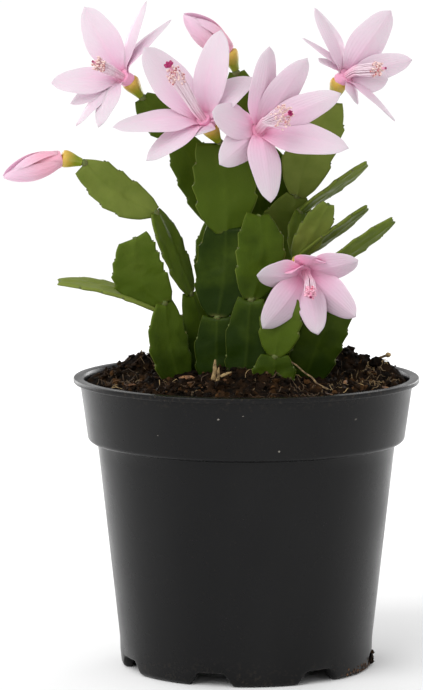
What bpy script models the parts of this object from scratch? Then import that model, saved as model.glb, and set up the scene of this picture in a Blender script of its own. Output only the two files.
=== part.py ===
"""Potted Christmas cactus: a plastic nursery pot, its peat, ten leafy stems and four short ones behind,
five open blooms and two buds.

Frame: metres, +Z up, origin at the middle of the pot's foot pad, the front of the plant towards -Y.
Points of the plant are written in millimetres and turned into metres by `mm`.
"""
import math
import random

import bmesh
import bpy
from mathutils import Matrix, Vector, noise

MM = 0.001
OBJECT = "potted_christmas_cactus"

# ---- mesh tolerances, millimetres and angles --------------------------------------------------------
SEAM = 0.01
MERGE = 0.002
FLAT = math.radians(1.5)
SHARP = math.radians(40.0)

# ---- pot, millimetres -------------------------------------------------------------------------------
RIM_RADIUS = 60.0
POT_HEIGHT = 101.0
WALL = 1.3
LIP_THICKNESS = 1.8
LIP_OVERHANG = 2.3
LIP_ROUND = 0.5
BAND_HEIGHT = 20.5
BAND_TAPER = 2.6
LEDGE_STEP = 3.4
LEDGE_HEIGHT = 2.0
FOOT_RADIUS = 43.6
FOOT_ROUND = 1.8
PLATE_UNDERSIDE = 5.2
PLATE_THICKNESS = 1.3
PAD_RADIUS = 8.0
DRAFT = 0.5
POT_SIDES = 40

# ---- drainage, millimetres --------------------------------------------------------------------------
NOTCHES = 7
FIRST_NOTCH = math.radians(-107.0)
NOTCH_TOP_WIDTH = 11.0
NOTCH_FOOT_WIDTH = 15.4
NOTCH_HEIGHT = 4.5
NOTCH_CORNER = 1.2
NOTCH_REACH = (-8.0, 8.0)
DRAIN_RADIUS = 3.2
DRAIN_CIRCLE = 29.0
DRAIN_SIDES = 10
CUT_THROUGH = 6.0

# ---- peat, millimetres ------------------------------------------------------------------------------
CLEARANCE = 0.35
SOIL_LEVEL = 98.8
SOIL_RINGS = 9
SOIL_SIDES = 32
SOIL_CRUMB = 2.2
SOIL_LIMIT = 107.5
SOIL_SAG = 1.2
FLAT_BY_THE_WALL = 14
MOUNDS = (
    # middle x, middle y, spread, rise
    (-36.0, 25.0, 11.0, 6.6),
    (35.0, 26.0, 13.0, 8.4),
    (50.0, 9.0, 9.0, 6.0),
    (-48.0, 10.0, 9.0, 3.6),
)
ROOT_DEPTH = 15.0
ROOT_ABOVE = 1.2
ROOT_TOP = (3.0, 1.5)
ROOT_TAPER = 0.55
ROOT_SIDES = 10

# ---- leaf segments, millimetres ---------------------------------------------------------------------
RIB_THICKNESS = 2.6
MARGIN_SHARE = 0.42
LEAF_FOOT = 0.22
LEAF_TIP = 0.36
LEAF_NOTCH = 0.965
FIRST_TOOTH = 0.34
LAST_TOOTH = 0.98
TOOTH = 0.07
STAGGER = 0.045
KNUCKLE = 1.7
FOLD = 0.10

# ---- blooms, millimetres ----------------------------------------------------------------------------
PETAL_THICKNESS = 0.8
PETAL_CUP = 0.16
PETAL_OUTLINE = ((0.0, 0.42), (0.27, 0.82), (0.55, 1.0), (0.82, 0.66), (1.0, 0.07))
TUBE_WALL = 0.9
TUBE_FLOOR = 1.6
TUBE_NARROW = 2.2
TUBE_WIDE = 3.7
TUBE_SIDES = 8
STALK = 1.2
OVARY_RADIUS = 2.7
OVARY_SIDES = 9
FILAMENTS = 6
FILAMENT_RADIUS = 0.35
ANTHER_RADIUS = 0.75
BUNDLE_RADIUS = 1.3
BUNDLE_SHARE = 0.22
STYLE_RADIUS = 0.35
STIGMA_RADIUS = 1.1
STIGMA_REACH = 2.6
SEAT_GAP = 0.35
BUD_WRAPS = 4
BUD_SIDES = 7


def mm(point):
    """Return a point given in millimetres as a vector in metres."""
    return Vector(point) * MM


# ---- scene, materials and small mesh helpers ---------------------------------------------------------


def clear_scene():
    """Remove every object of the open scene."""
    for item in list(bpy.data.objects):
        bpy.data.objects.remove(item, do_unlink=True)


def collection(name):
    """Return a new collection linked to the scene."""
    group = bpy.data.collections.new(name)
    bpy.context.scene.collection.children.link(group)
    return group


def material(name, colour, roughness, subsurface=0.0):
    """Return a Principled material."""
    finish = bpy.data.materials.new(name)
    finish.use_nodes = True
    shader = finish.node_tree.nodes["Principled BSDF"]
    shader.inputs["Base Color"].default_value = (*colour, 1.0)
    shader.inputs["Roughness"].default_value = roughness
    shader.inputs["Metallic"].default_value = 0.0
    shader.inputs["Subsurface Weight"].default_value = subsurface
    finish.diffuse_color = (*colour, 1.0)
    return finish


def new_object(name, mesh, group):
    """Link a mesh as an object of a collection."""
    item = bpy.data.objects.new(name, mesh)
    group.objects.link(item)
    return item


def mesh_from(bm, name):
    """Write a bmesh into a new mesh and free it."""
    mesh = bpy.data.meshes.new(name)
    bm.to_mesh(mesh)
    bm.free()
    return mesh


def apply_modifiers(item):
    """Replace an object's mesh by its evaluated one."""
    bpy.context.view_layer.update()
    evaluated = item.evaluated_get(bpy.context.evaluated_depsgraph_get())
    mesh = bpy.data.meshes.new_from_object(evaluated)
    item.modifiers.clear()
    item.data = mesh
    return item


def boolean(body, operation, group):
    """Apply one Boolean of a whole collection to a body, then remove the collection's objects."""
    change = body.modifiers.new("boolean", "BOOLEAN")
    change.operation = operation
    change.operand_type = "COLLECTION"
    change.collection = group
    change.solver = "EXACT"
    apply_modifiers(body)
    for tool in list(group.objects):
        bpy.data.objects.remove(tool, do_unlink=True)


def cut_away(body, tools, cutters):
    """Cut every tool out of a body."""
    for tool in tools:
        tool.hide_render = True
        tool.display_type = "WIRE"
    boolean(body, "DIFFERENCE", cutters)


def tidy_faces(body):
    """Merge the flat slivers a union leaves behind and cut the faces into triangles again."""
    bm = bmesh.new()
    bm.from_mesh(body.data)
    bmesh.ops.remove_doubles(bm, verts=bm.verts, dist=MERGE * MM)
    drop_specks(bm)
    bmesh.ops.dissolve_limit(bm, angle_limit=FLAT, verts=bm.verts, edges=bm.edges)
    bmesh.ops.triangulate(bm, faces=bm.faces)
    bm.to_mesh(body.data)
    bm.free()


def drop_specks(bm):
    """Delete the loose specks a union can leave, keeping the island with most corners."""
    left = set(bm.verts)
    islands = []
    while left:
        island = {left.pop()}
        edge = list(island)
        while edge:
            corner = edge.pop()
            near = {link.other_vert(corner) for link in corner.link_edges} & left
            left -= near
            island |= near
            edge.extend(near)
        islands.append(island)
    islands.sort(key=len)
    for island in islands[:-1]:
        bmesh.ops.delete(bm, geom=list(island), context="VERTS")


def fuse(name, pieces, finish):
    """Join closed pieces into one body by one Boolean union on a collection."""
    body = pieces[0]
    if len(pieces) > 1:
        repeats = collection(name + "_repeats")
        for piece in pieces[1:]:
            for owner in piece.users_collection:
                owner.objects.unlink(piece)
            repeats.objects.link(piece)
        boolean(body, "UNION", repeats)
        bpy.data.collections.remove(repeats)
    tidy_faces(body)
    body.name = name
    body.data.name = name
    body.data.materials.clear()
    body.data.materials.append(finish)
    body.data.shade_smooth()
    body.data.set_sharp_from_angle(angle=SHARP)
    return body


def screw(name, profile, group, sides):
    """Turn a profile of (radius, height) points, in millimetres, round Z."""
    bm = bmesh.new()
    points = [bm.verts.new((radius * MM, 0.0, height * MM)) for radius, height in profile]
    for one, two in zip(points, points[1:]):
        bm.edges.new((one, two))
    item = new_object(name, mesh_from(bm, name), group)
    turn = item.modifiers.new("turn", "SCREW")
    turn.steps = sides
    turn.render_steps = sides
    turn.use_merge_vertices = True
    turn.merge_threshold = SEAM * MM
    return apply_modifiers(item)


def stand_along(item, start, direction):
    """Move an object modelled along +Z so that it starts at a point and runs in a direction."""
    turn = direction.to_track_quat("Z", "Y").to_matrix().to_4x4()
    item.data.transform(Matrix.Translation(start) @ turn)
    return item


# ---- pot ---------------------------------------------------------------------------------------------


def wall_outline():
    """Return the pot's outer wall from the lip to the foot, as (radius, height) points."""
    under_lip = POT_HEIGHT - LIP_THICKNESS
    band_top = RIM_RADIUS - LIP_OVERHANG
    band_foot = band_top - BAND_TAPER
    ledge_top = POT_HEIGHT - BAND_HEIGHT
    wall_top = band_foot - LEDGE_STEP
    return [
        (band_top, under_lip),
        (band_foot, ledge_top),
        (band_foot - LEDGE_STEP * 0.24, ledge_top - LEDGE_HEIGHT * 0.6),
        (wall_top, ledge_top - LEDGE_HEIGHT),
        (FOOT_RADIUS, FOOT_ROUND),
        (FOOT_RADIUS - FOOT_ROUND * 0.35, FOOT_ROUND * 0.35),
        (FOOT_RADIUS - FOOT_ROUND, 0.0),
    ]


def inner_wall():
    """Return the pot's inner wall from the floor to the lip, as (radius, height) points."""
    under_lip, band_foot, _, wall_top, foot = wall_outline()[:5]
    floor = PLATE_UNDERSIDE + PLATE_THICKNESS
    slope = (wall_top[0] - foot[0]) / (wall_top[1] - foot[1])
    return [
        (foot[0] + slope * (floor - foot[1]) - WALL, floor),
        (wall_top[0] - WALL, wall_top[1] + WALL * 0.3),
        (band_foot[0] - WALL, band_foot[1] + WALL * 0.6),
        (under_lip[0] - WALL, under_lip[1]),
        (under_lip[0] - WALL + DRAFT * 0.6, POT_HEIGHT),
    ]


def notch_cutter(angle, group):
    """Return a cutter for one drainage notch in the foot ring."""
    half_foot = NOTCH_FOOT_WIDTH / 2
    half_top = NOTCH_TOP_WIDTH / 2
    side = [
        (half_foot + 2.0, -2.0),
        (half_foot, 0.0),
        (half_top + NOTCH_CORNER * 0.6, NOTCH_HEIGHT - NOTCH_CORNER),
        (half_top - NOTCH_CORNER * 0.4, NOTCH_HEIGHT),
    ]
    outline = side + [(-across, up) for across, up in reversed(side)]
    bm = bmesh.new()
    points = [bm.verts.new((0.0, across * MM, up * MM)) for across, up in outline]
    face = bm.faces.new(points)
    grown = bmesh.ops.extrude_face_region(bm, geom=[face])
    moved = [part for part in grown["geom"] if isinstance(part, bmesh.types.BMVert)]
    bmesh.ops.translate(bm, verts=moved, vec=((NOTCH_REACH[1] - NOTCH_REACH[0]) * MM, 0.0, 0.0))
    bmesh.ops.recalc_face_normals(bm, faces=bm.faces)
    bmesh.ops.translate(bm, verts=bm.verts, vec=((FOOT_RADIUS + NOTCH_REACH[0]) * MM, 0.0, 0.0))
    bmesh.ops.rotate(bm, verts=bm.verts, matrix=Matrix.Rotation(angle, 3, "Z"))
    return new_object("notch_cutter", mesh_from(bm, "notch_cutter"), group)


def drain_cutter(angle, group):
    """Return a cutter for one round drain hole in the base plate."""
    bm = bmesh.new()
    size = dict(radius1=DRAIN_RADIUS * MM, radius2=DRAIN_RADIUS * MM, depth=CUT_THROUGH * MM)
    bmesh.ops.create_cone(bm, cap_ends=True, segments=DRAIN_SIDES, **size)
    place = Vector((DRAIN_CIRCLE, 0.0, PLATE_UNDERSIDE + PLATE_THICKNESS / 2)) * MM
    bmesh.ops.translate(bm, verts=bm.verts, vec=place)
    bmesh.ops.rotate(bm, verts=bm.verts, matrix=Matrix.Rotation(angle, 3, "Z"))
    return new_object("drain_cutter", mesh_from(bm, "drain_cutter"), group)


def build_pot(parts, cutters, finish):
    """Turn the pot and cut its notches and drain holes."""
    lip = [
        (RIM_RADIUS - LIP_ROUND, POT_HEIGHT),
        (RIM_RADIUS, POT_HEIGHT - LIP_ROUND),
        (RIM_RADIUS, POT_HEIGHT - LIP_THICKNESS + LIP_ROUND),
        (RIM_RADIUS - LIP_ROUND, POT_HEIGHT - LIP_THICKNESS),
    ]
    foot_inner = FOOT_RADIUS - FOOT_ROUND - WALL
    floor = PLATE_UNDERSIDE + PLATE_THICKNESS
    under = [
        (foot_inner, 0.0),
        (foot_inner - DRAFT, PLATE_UNDERSIDE),
        (PAD_RADIUS + DRAFT, PLATE_UNDERSIDE),
        (PAD_RADIUS, 0.0),
        (0.0, 0.0),
    ]
    profile = [(0.0, floor)] + inner_wall() + lip + wall_outline() + under
    pot = screw("pot", profile, parts, POT_SIDES)
    tools = []
    for index in range(NOTCHES):
        angle = FIRST_NOTCH + index * math.tau / NOTCHES
        tools.append(notch_cutter(angle, cutters))
        tools.append(drain_cutter(angle + math.pi / NOTCHES, cutters))
    cut_away(pot, tools, cutters)
    return fuse("pot", [pot], finish)


# ---- peat --------------------------------------------------------------------------------------------


def soil_height(x, y):
    """Return the height of the peat at a point, in millimetres."""
    wall = inner_wall()[3][0]
    edge = max(0.0, 1.0 - (math.hypot(x, y) / wall) ** FLAT_BY_THE_WALL)
    rise = 0.0
    for middle_x, middle_y, spread, height in MOUNDS:
        away = math.hypot(x - middle_x, y - middle_y) / spread
        rise += height * math.exp(-away * away)
    coarse = noise.noise(Vector((x * 0.16, y * 0.16, 0.3)))
    fine = noise.noise(Vector((x * 0.37, y * 0.37, 4.1)))
    rise += SOIL_CRUMB * (coarse + 0.6 * fine)
    return min(SOIL_LEVEL + rise * edge, SOIL_LIMIT)


def build_soil(parts, cutters, roots, finish):
    """Turn the peat, raise its top by formula and sink a plain hole for each stem."""
    floor, ledge, band, under_lip = inner_wall()[:4]
    slack = CLEARANCE * 1.4
    foot = (floor[0] - CLEARANCE, floor[1] + CLEARANCE)
    brink = under_lip[0] - slack
    side = [(brink, SOIL_LEVEL - SOIL_SAG), (band[0] - slack, band[1]), (ledge[0] - slack, ledge[1]), foot]
    top = [(brink * ring / SOIL_RINGS, SOIL_LEVEL) for ring in range(SOIL_RINGS)]
    soil = screw("soil", top + side + [(0.0, foot[1])], parts, SOIL_SIDES)
    for vertex in soil.data.vertices:
        if vertex.co.z > (SOIL_LEVEL - SOIL_SAG / 2) * MM:
            vertex.co.z = soil_height(vertex.co.x / MM, vertex.co.y / MM) * MM
    tools = [root_prism(root, cutters, CLEARANCE, RIM_RADIUS) for root in roots]
    cut_away(soil, tools, cutters)
    return fuse("soil", [soil], finish)


def root_prism(root, group, margin, rise):
    """Return the buried foot of a stem, or with a margin the hole it stands in, up to a rise above it."""
    (x, y, z), turn = root
    low = z - ROOT_DEPTH - margin
    high = z + rise
    taper = 1.0 if margin else ROOT_TAPER
    bm = bmesh.new()
    size = dict(radius1=taper * MM, radius2=MM, depth=(high - low) * MM)
    bmesh.ops.create_cone(bm, cap_ends=True, segments=ROOT_SIDES, **size)
    bmesh.ops.scale(bm, verts=bm.verts, vec=(ROOT_TOP[0] + margin, ROOT_TOP[1] + margin, 1.0))
    bmesh.ops.rotate(bm, verts=bm.verts, matrix=Matrix.Rotation(math.radians(turn), 3, "Z"))
    bmesh.ops.translate(bm, verts=bm.verts, vec=mm((x, y, (low + high) / 2)))
    return new_object("root", mesh_from(bm, "root"), group)


# ---- leaf segments -----------------------------------------------------------------------------------


def margin_points(teeth, lead, horn):
    """Return one toothed margin as (share of the length, share of the half width) pairs.

    The outline swells and narrows as a sine; each tooth rises above it and drops back behind its point.
    """

    def swell(share):
        return math.sin(math.pi * (0.07 + 0.80 * share)) ** 0.6

    points = [(0.0, LEAF_FOOT), (0.11, swell(0.11))]
    first = FIRST_TOOTH + lead
    step = (LAST_TOOTH - first) / teeth
    for index in range(teeth):
        tip = first + index * step
        drop = tip + step * 0.16
        points.append((tip, swell(tip) + TOOTH))
        points.append((drop, swell(drop) - TOOTH))
    points.append((1.02, LEAF_TIP + horn))
    return points


def leaf_sheet(base, tip, width, turn, arch, sweep, teeth, horns):
    """Return the middle surface of one segment as a bmesh: a left margin, a rib and a right margin."""
    along = tip - base
    across = along.cross(Vector((0.0, -1.0, 0.0))).normalized()
    across = Matrix.Rotation(math.radians(turn), 3, along) @ across
    normal = across.cross(along).normalized()
    left = margin_points(teeth, 0.0, horns[0])
    right = margin_points(teeth, STAGGER, horns[1])
    last = len(left) - 1
    bm = bmesh.new()
    bmesh.ops.create_grid(bm, x_segments=2, y_segments=last, size=1.0)
    for vertex in bm.verts:
        column = round(vertex.co.x)
        row = round((vertex.co.y + 1.0) / 2.0 * last)
        if column < 0:
            share, half = left[row][0], -left[row][1]
        elif column > 0:
            share, half = right[row]
        else:
            share, half = (left[row][0] + right[row][0]) / 2, 0.0
            if row == last:
                share = LEAF_NOTCH
        bow = 4.0 * share * (1.0 - share)
        place = base + along * share
        place += across * (half * width / 2 * MM + sweep * bow * MM)
        place += normal * (arch * bow * MM + FOLD * abs(half) * width / 2 * MM)
        vertex.co = place
    bmesh.ops.triangulate(bm, faces=bm.faces)
    return bm


def leaf(group, base, tip, width, turn, arch=0.0, sweep=0.0, teeth=3, horns=(0.13, 0.09)):
    """Return one closed leaf segment, thick along its rib and thin at its toothed margins.

    The turn is about its length, the arch bows it out of its plane and the sweep bows it sideways.
    The horns are the two teeth at its cut-off tip, left and right.
    """
    bm = leaf_sheet(mm(base), mm(tip), width, turn, arch, sweep, teeth, horns)
    rib = [vertex.index for vertex in bm.verts if not vertex.is_boundary]
    item = new_object("leaf", mesh_from(bm, "leaf"), group)
    weights = item.vertex_groups.new(name="rib")
    weights.add(rib, 1.0, "REPLACE")
    shell = item.modifiers.new("flesh", "SOLIDIFY")
    shell.thickness = RIB_THICKNESS * MM
    shell.offset = 0.0
    shell.vertex_group = weights.name
    shell.thickness_vertex_group = MARGIN_SHARE
    return apply_modifiers(item)


def knuckle(point, group):
    """Return the small woody joint between two segments."""
    bm = bmesh.new()
    bmesh.ops.create_icosphere(bm, subdivisions=1, radius=KNUCKLE * MM)
    bmesh.ops.translate(bm, verts=bm.verts, vec=mm(point))
    return new_object("knuckle", mesh_from(bm, "knuckle"), group)


def build_stem(name, root, leaves, seats, parts, finish):
    """Fuse one rooted stem: its buried foot, its segments and a knuckle at every joint and bloom's seat."""
    pieces = [root_prism(root, parts, 0.0, ROOT_ABOVE)]
    pieces += [leaf(parts, **entry) for entry in leaves]
    tips = [entry["tip"] for entry in leaves]
    joints = {entry["base"] for entry in leaves} | {seat for seat in seats if seat in tips}
    pieces += [knuckle(joint, parts) for joint in sorted(joints) if joint != root[0]]
    return fuse(name, pieces, finish)


# ---- blooms ------------------------------------------------------------------------------------------


def petal(group, base, lead, tip, across, width, cup):
    """Return one closed petal: a lance-shaped sheet bent along base, lead and tip."""
    last = len(PETAL_OUTLINE) - 1
    bm = bmesh.new()
    bmesh.ops.create_grid(bm, x_segments=2, y_segments=last, size=1.0)
    for vertex in bm.verts:
        column = round(vertex.co.x)
        share, half = PETAL_OUTLINE[round((vertex.co.y + 1.0) / 2.0 * last)]
        place = base * (1 - share) ** 2 + lead * 2 * share * (1 - share) + tip * share**2
        tangent = (lead - base) * (1 - share) + (tip - lead) * share
        normal = across.cross(tangent).normalized()
        place += across * (column * half * width / 2 * MM)
        place += normal * (abs(column) * half * cup * width / 2 * MM)
        vertex.co = place
    bmesh.ops.triangulate(bm, faces=bm.faces)
    item = new_object("petal", mesh_from(bm, "petal"), group)
    shell = item.modifiers.new("flesh", "SOLIDIFY")
    shell.thickness = PETAL_THICKNESS * MM
    shell.offset = 0.0
    return apply_modifiers(item)


def bloom_tube(group, neck, throat):
    """Return the petal tube, closed at the ovary and flared open at the throat."""
    length = (throat - neck).length / MM
    flare = TUBE_WIDE + 0.5
    profile = [
        (0.0, TUBE_FLOOR),
        (TUBE_NARROW - TUBE_WALL, TUBE_FLOOR + 0.4),
        (TUBE_WIDE - TUBE_WALL, length * 0.75),
        (flare - TUBE_WALL, length),
        (flare, length + 0.2),
        (TUBE_WIDE, length * 0.72),
        (TUBE_NARROW + 0.3, TUBE_FLOOR + 0.2),
        (STALK, 0.0),
        (0.0, 0.0),
    ]
    tube = screw("tube", profile, group, TUBE_SIDES)
    return stand_along(tube, neck, (throat - neck).normalized())


def build_perianth(name, neck, throat, aim, petals, parts, finish):
    """Fuse one bloom's tube and petals.

    Each petal is (tip from the throat, width, roll, share of the tube where it springs).
    """
    tube_axis = (throat - neck).normalized()
    pieces = [bloom_tube(parts, neck, throat)]
    for tip, width, roll, rise in petals:
        end = throat + mm(tip)
        radial = end - throat
        radial -= tube_axis * radial.dot(tube_axis)
        radial.normalize()
        radius = TUBE_NARROW + (TUBE_WIDE - TUBE_NARROW) * rise
        base = neck.lerp(throat, rise) + radial * (radius - TUBE_WALL / 3) * MM
        lead = base + (tube_axis * 0.30 + radial * 0.16) * (end - base).length
        across = aim.cross(end - base).normalized()
        across = Matrix.Rotation(math.radians(roll), 3, end - base) @ across
        pieces.append(petal(parts, base, lead, end, across, width, PETAL_CUP))
    return fuse(name, pieces, finish)


def build_ovary(name, seat, neck, parts, finish):
    """Turn the ovary between the stem and the petal tube."""
    reach = neck - seat
    start = seat + reach.normalized() * (KNUCKLE + SEAT_GAP) * MM
    length = (neck - start).length / MM - 2 * SEAT_GAP
    profile = [
        (0.0, length),
        (OVARY_RADIUS * 0.45, length),
        (OVARY_RADIUS * 0.95, length * 0.84),
        (OVARY_RADIUS, length * 0.62),
        (OVARY_RADIUS * 0.7, length * 0.22),
        (STALK, 0.0),
        (0.0, 0.0),
    ]
    ovary = screw("ovary", profile, parts, OVARY_SIDES)
    return fuse(name, [stand_along(ovary, start, reach.normalized())], finish)


def rod(group, start, end, radius, sides=3):
    """Return a slim closed prism between two points."""
    bm = bmesh.new()
    length = (end - start).length
    size = dict(radius1=radius * MM, radius2=radius * MM, depth=length)
    bmesh.ops.create_cone(bm, cap_ends=True, segments=sides, **size)
    bmesh.ops.translate(bm, verts=bm.verts, vec=(0.0, 0.0, length / 2))
    item = new_object("rod", mesh_from(bm, "rod"), group)
    return stand_along(item, start, (end - start).normalized())


def bead(group, point, radius, aim):
    """Return a small faceted bead, longer along its aim."""
    bm = bmesh.new()
    bmesh.ops.create_uvsphere(bm, u_segments=4, v_segments=2, radius=radius * MM)
    bmesh.ops.scale(bm, verts=bm.verts, vec=(1.0, 1.0, 1.3))
    item = new_object("bead", mesh_from(bm, "bead"), group)
    return stand_along(item, point, aim)


def build_stamens(name, neck, throat, brush, spread, parts, finish):
    """Fuse the brush of stamens: a slim bundle from the tube's floor that splays into anthers."""
    draw = random.Random(name)
    tube_axis = (throat - neck).normalized()
    foot = neck + tube_axis * (TUBE_FLOOR + SEAT_GAP) * MM
    mouth = throat.lerp(brush, BUNDLE_SHARE)
    out = (brush - mouth).normalized()
    pieces = [rod(parts, foot, throat, 0.9, 5), rod(parts, throat - tube_axis * MM, mouth, BUNDLE_RADIUS, 6)]
    side = out.orthogonal().normalized()
    for index in range(FILAMENTS):
        turn = index * math.tau / FILAMENTS + draw.uniform(-0.25, 0.25)
        ring = Matrix.Rotation(turn, 3, out) @ side
        reach = draw.uniform(0.82, 1.0)
        end = mouth + (brush - mouth) * reach + ring * spread * (0.7 + 0.3 * (index % 2)) * MM
        start = mouth - out * MM + ring * (BUNDLE_RADIUS - FILAMENT_RADIUS) * MM
        pieces.append(rod(parts, start, end, FILAMENT_RADIUS))
        pieces.append(bead(parts, end, ANTHER_RADIUS, (end - start).normalized()))
    return fuse(name, pieces, finish)


def build_pistil(name, throat, brush, parts, finish):
    """Fuse the style and its stigma: the style stands on the bundle's end, amid the filaments."""
    out = (brush - throat).normalized()
    start = throat.lerp(brush, BUNDLE_SHARE) + out * SEAT_GAP * MM
    end = brush + out * STIGMA_REACH * MM
    pieces = [rod(parts, start, end, STYLE_RADIUS, 4), bead(parts, end, STIGMA_RADIUS, out)]
    return fuse(name, pieces, finish)


def build_bloom(name, bloom, parts, finishes):
    """Build one open bloom: ovary, perianth, stamens and pistil."""
    seat, neck, throat, brush = (mm(bloom[key]) for key in ("seat", "neck", "throat", "brush"))
    aim = (brush - throat).normalized()
    build_ovary(name + "_ovary", seat, neck, parts, finishes["ovary"])
    build_perianth(name + "_petals", neck, throat, aim, bloom["petals"], parts, finishes["petal"])
    build_stamens(name + "_stamens", neck, throat, brush, bloom["spread"], parts, finishes["stamen"])
    build_pistil(name + "_pistil", throat, brush, parts, finishes["pistil"])


def build_bud(name, bud, parts, finishes):
    """Build one closed bud: ovary, and petals wrapped round a core."""
    seat, neck, tip = (mm(bud[key]) for key in ("seat", "neck", "tip"))
    build_ovary(name + "_ovary", seat, neck, parts, finishes["ovary"])
    axis = (tip - neck).normalized()
    length = (tip - neck).length / MM
    girth = bud["girth"]
    profile = [
        (0.0, length * 0.93),
        (girth * 0.34, length * 0.80),
        (girth * 0.70, length * 0.55),
        (girth * 0.80, length * 0.30),
        (girth * 0.60, length * 0.08),
        (STALK, 0.0),
        (0.0, 0.0),
    ]
    pieces = [stand_along(screw("core", profile, parts, BUD_SIDES), neck, axis)]
    side = axis.orthogonal().normalized()
    for index in range(BUD_WRAPS):
        ring = Matrix.Rotation(index * math.tau / BUD_WRAPS + 0.3, 3, axis) @ side
        end_share = 1.0 if index % 2 == 0 else 0.86
        base = neck + axis * length * 0.09 * MM + ring * girth * 0.50 * MM
        end = neck + axis * length * end_share * MM + ring * 0.5 * MM
        lead = neck + axis * length * 0.46 * MM + ring * girth * 1.62 * MM
        across = axis.cross(ring).normalized()
        pieces.append(petal(parts, base, lead, end, across, girth * 1.45, -0.30))
    return fuse(name + "_petals", pieces, finishes["petal"])


# ---- the plant, millimetres --------------------------------------------------------------------------
# Every stem: the point where it leaves the peat, then its segments from joint to joint.

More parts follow.
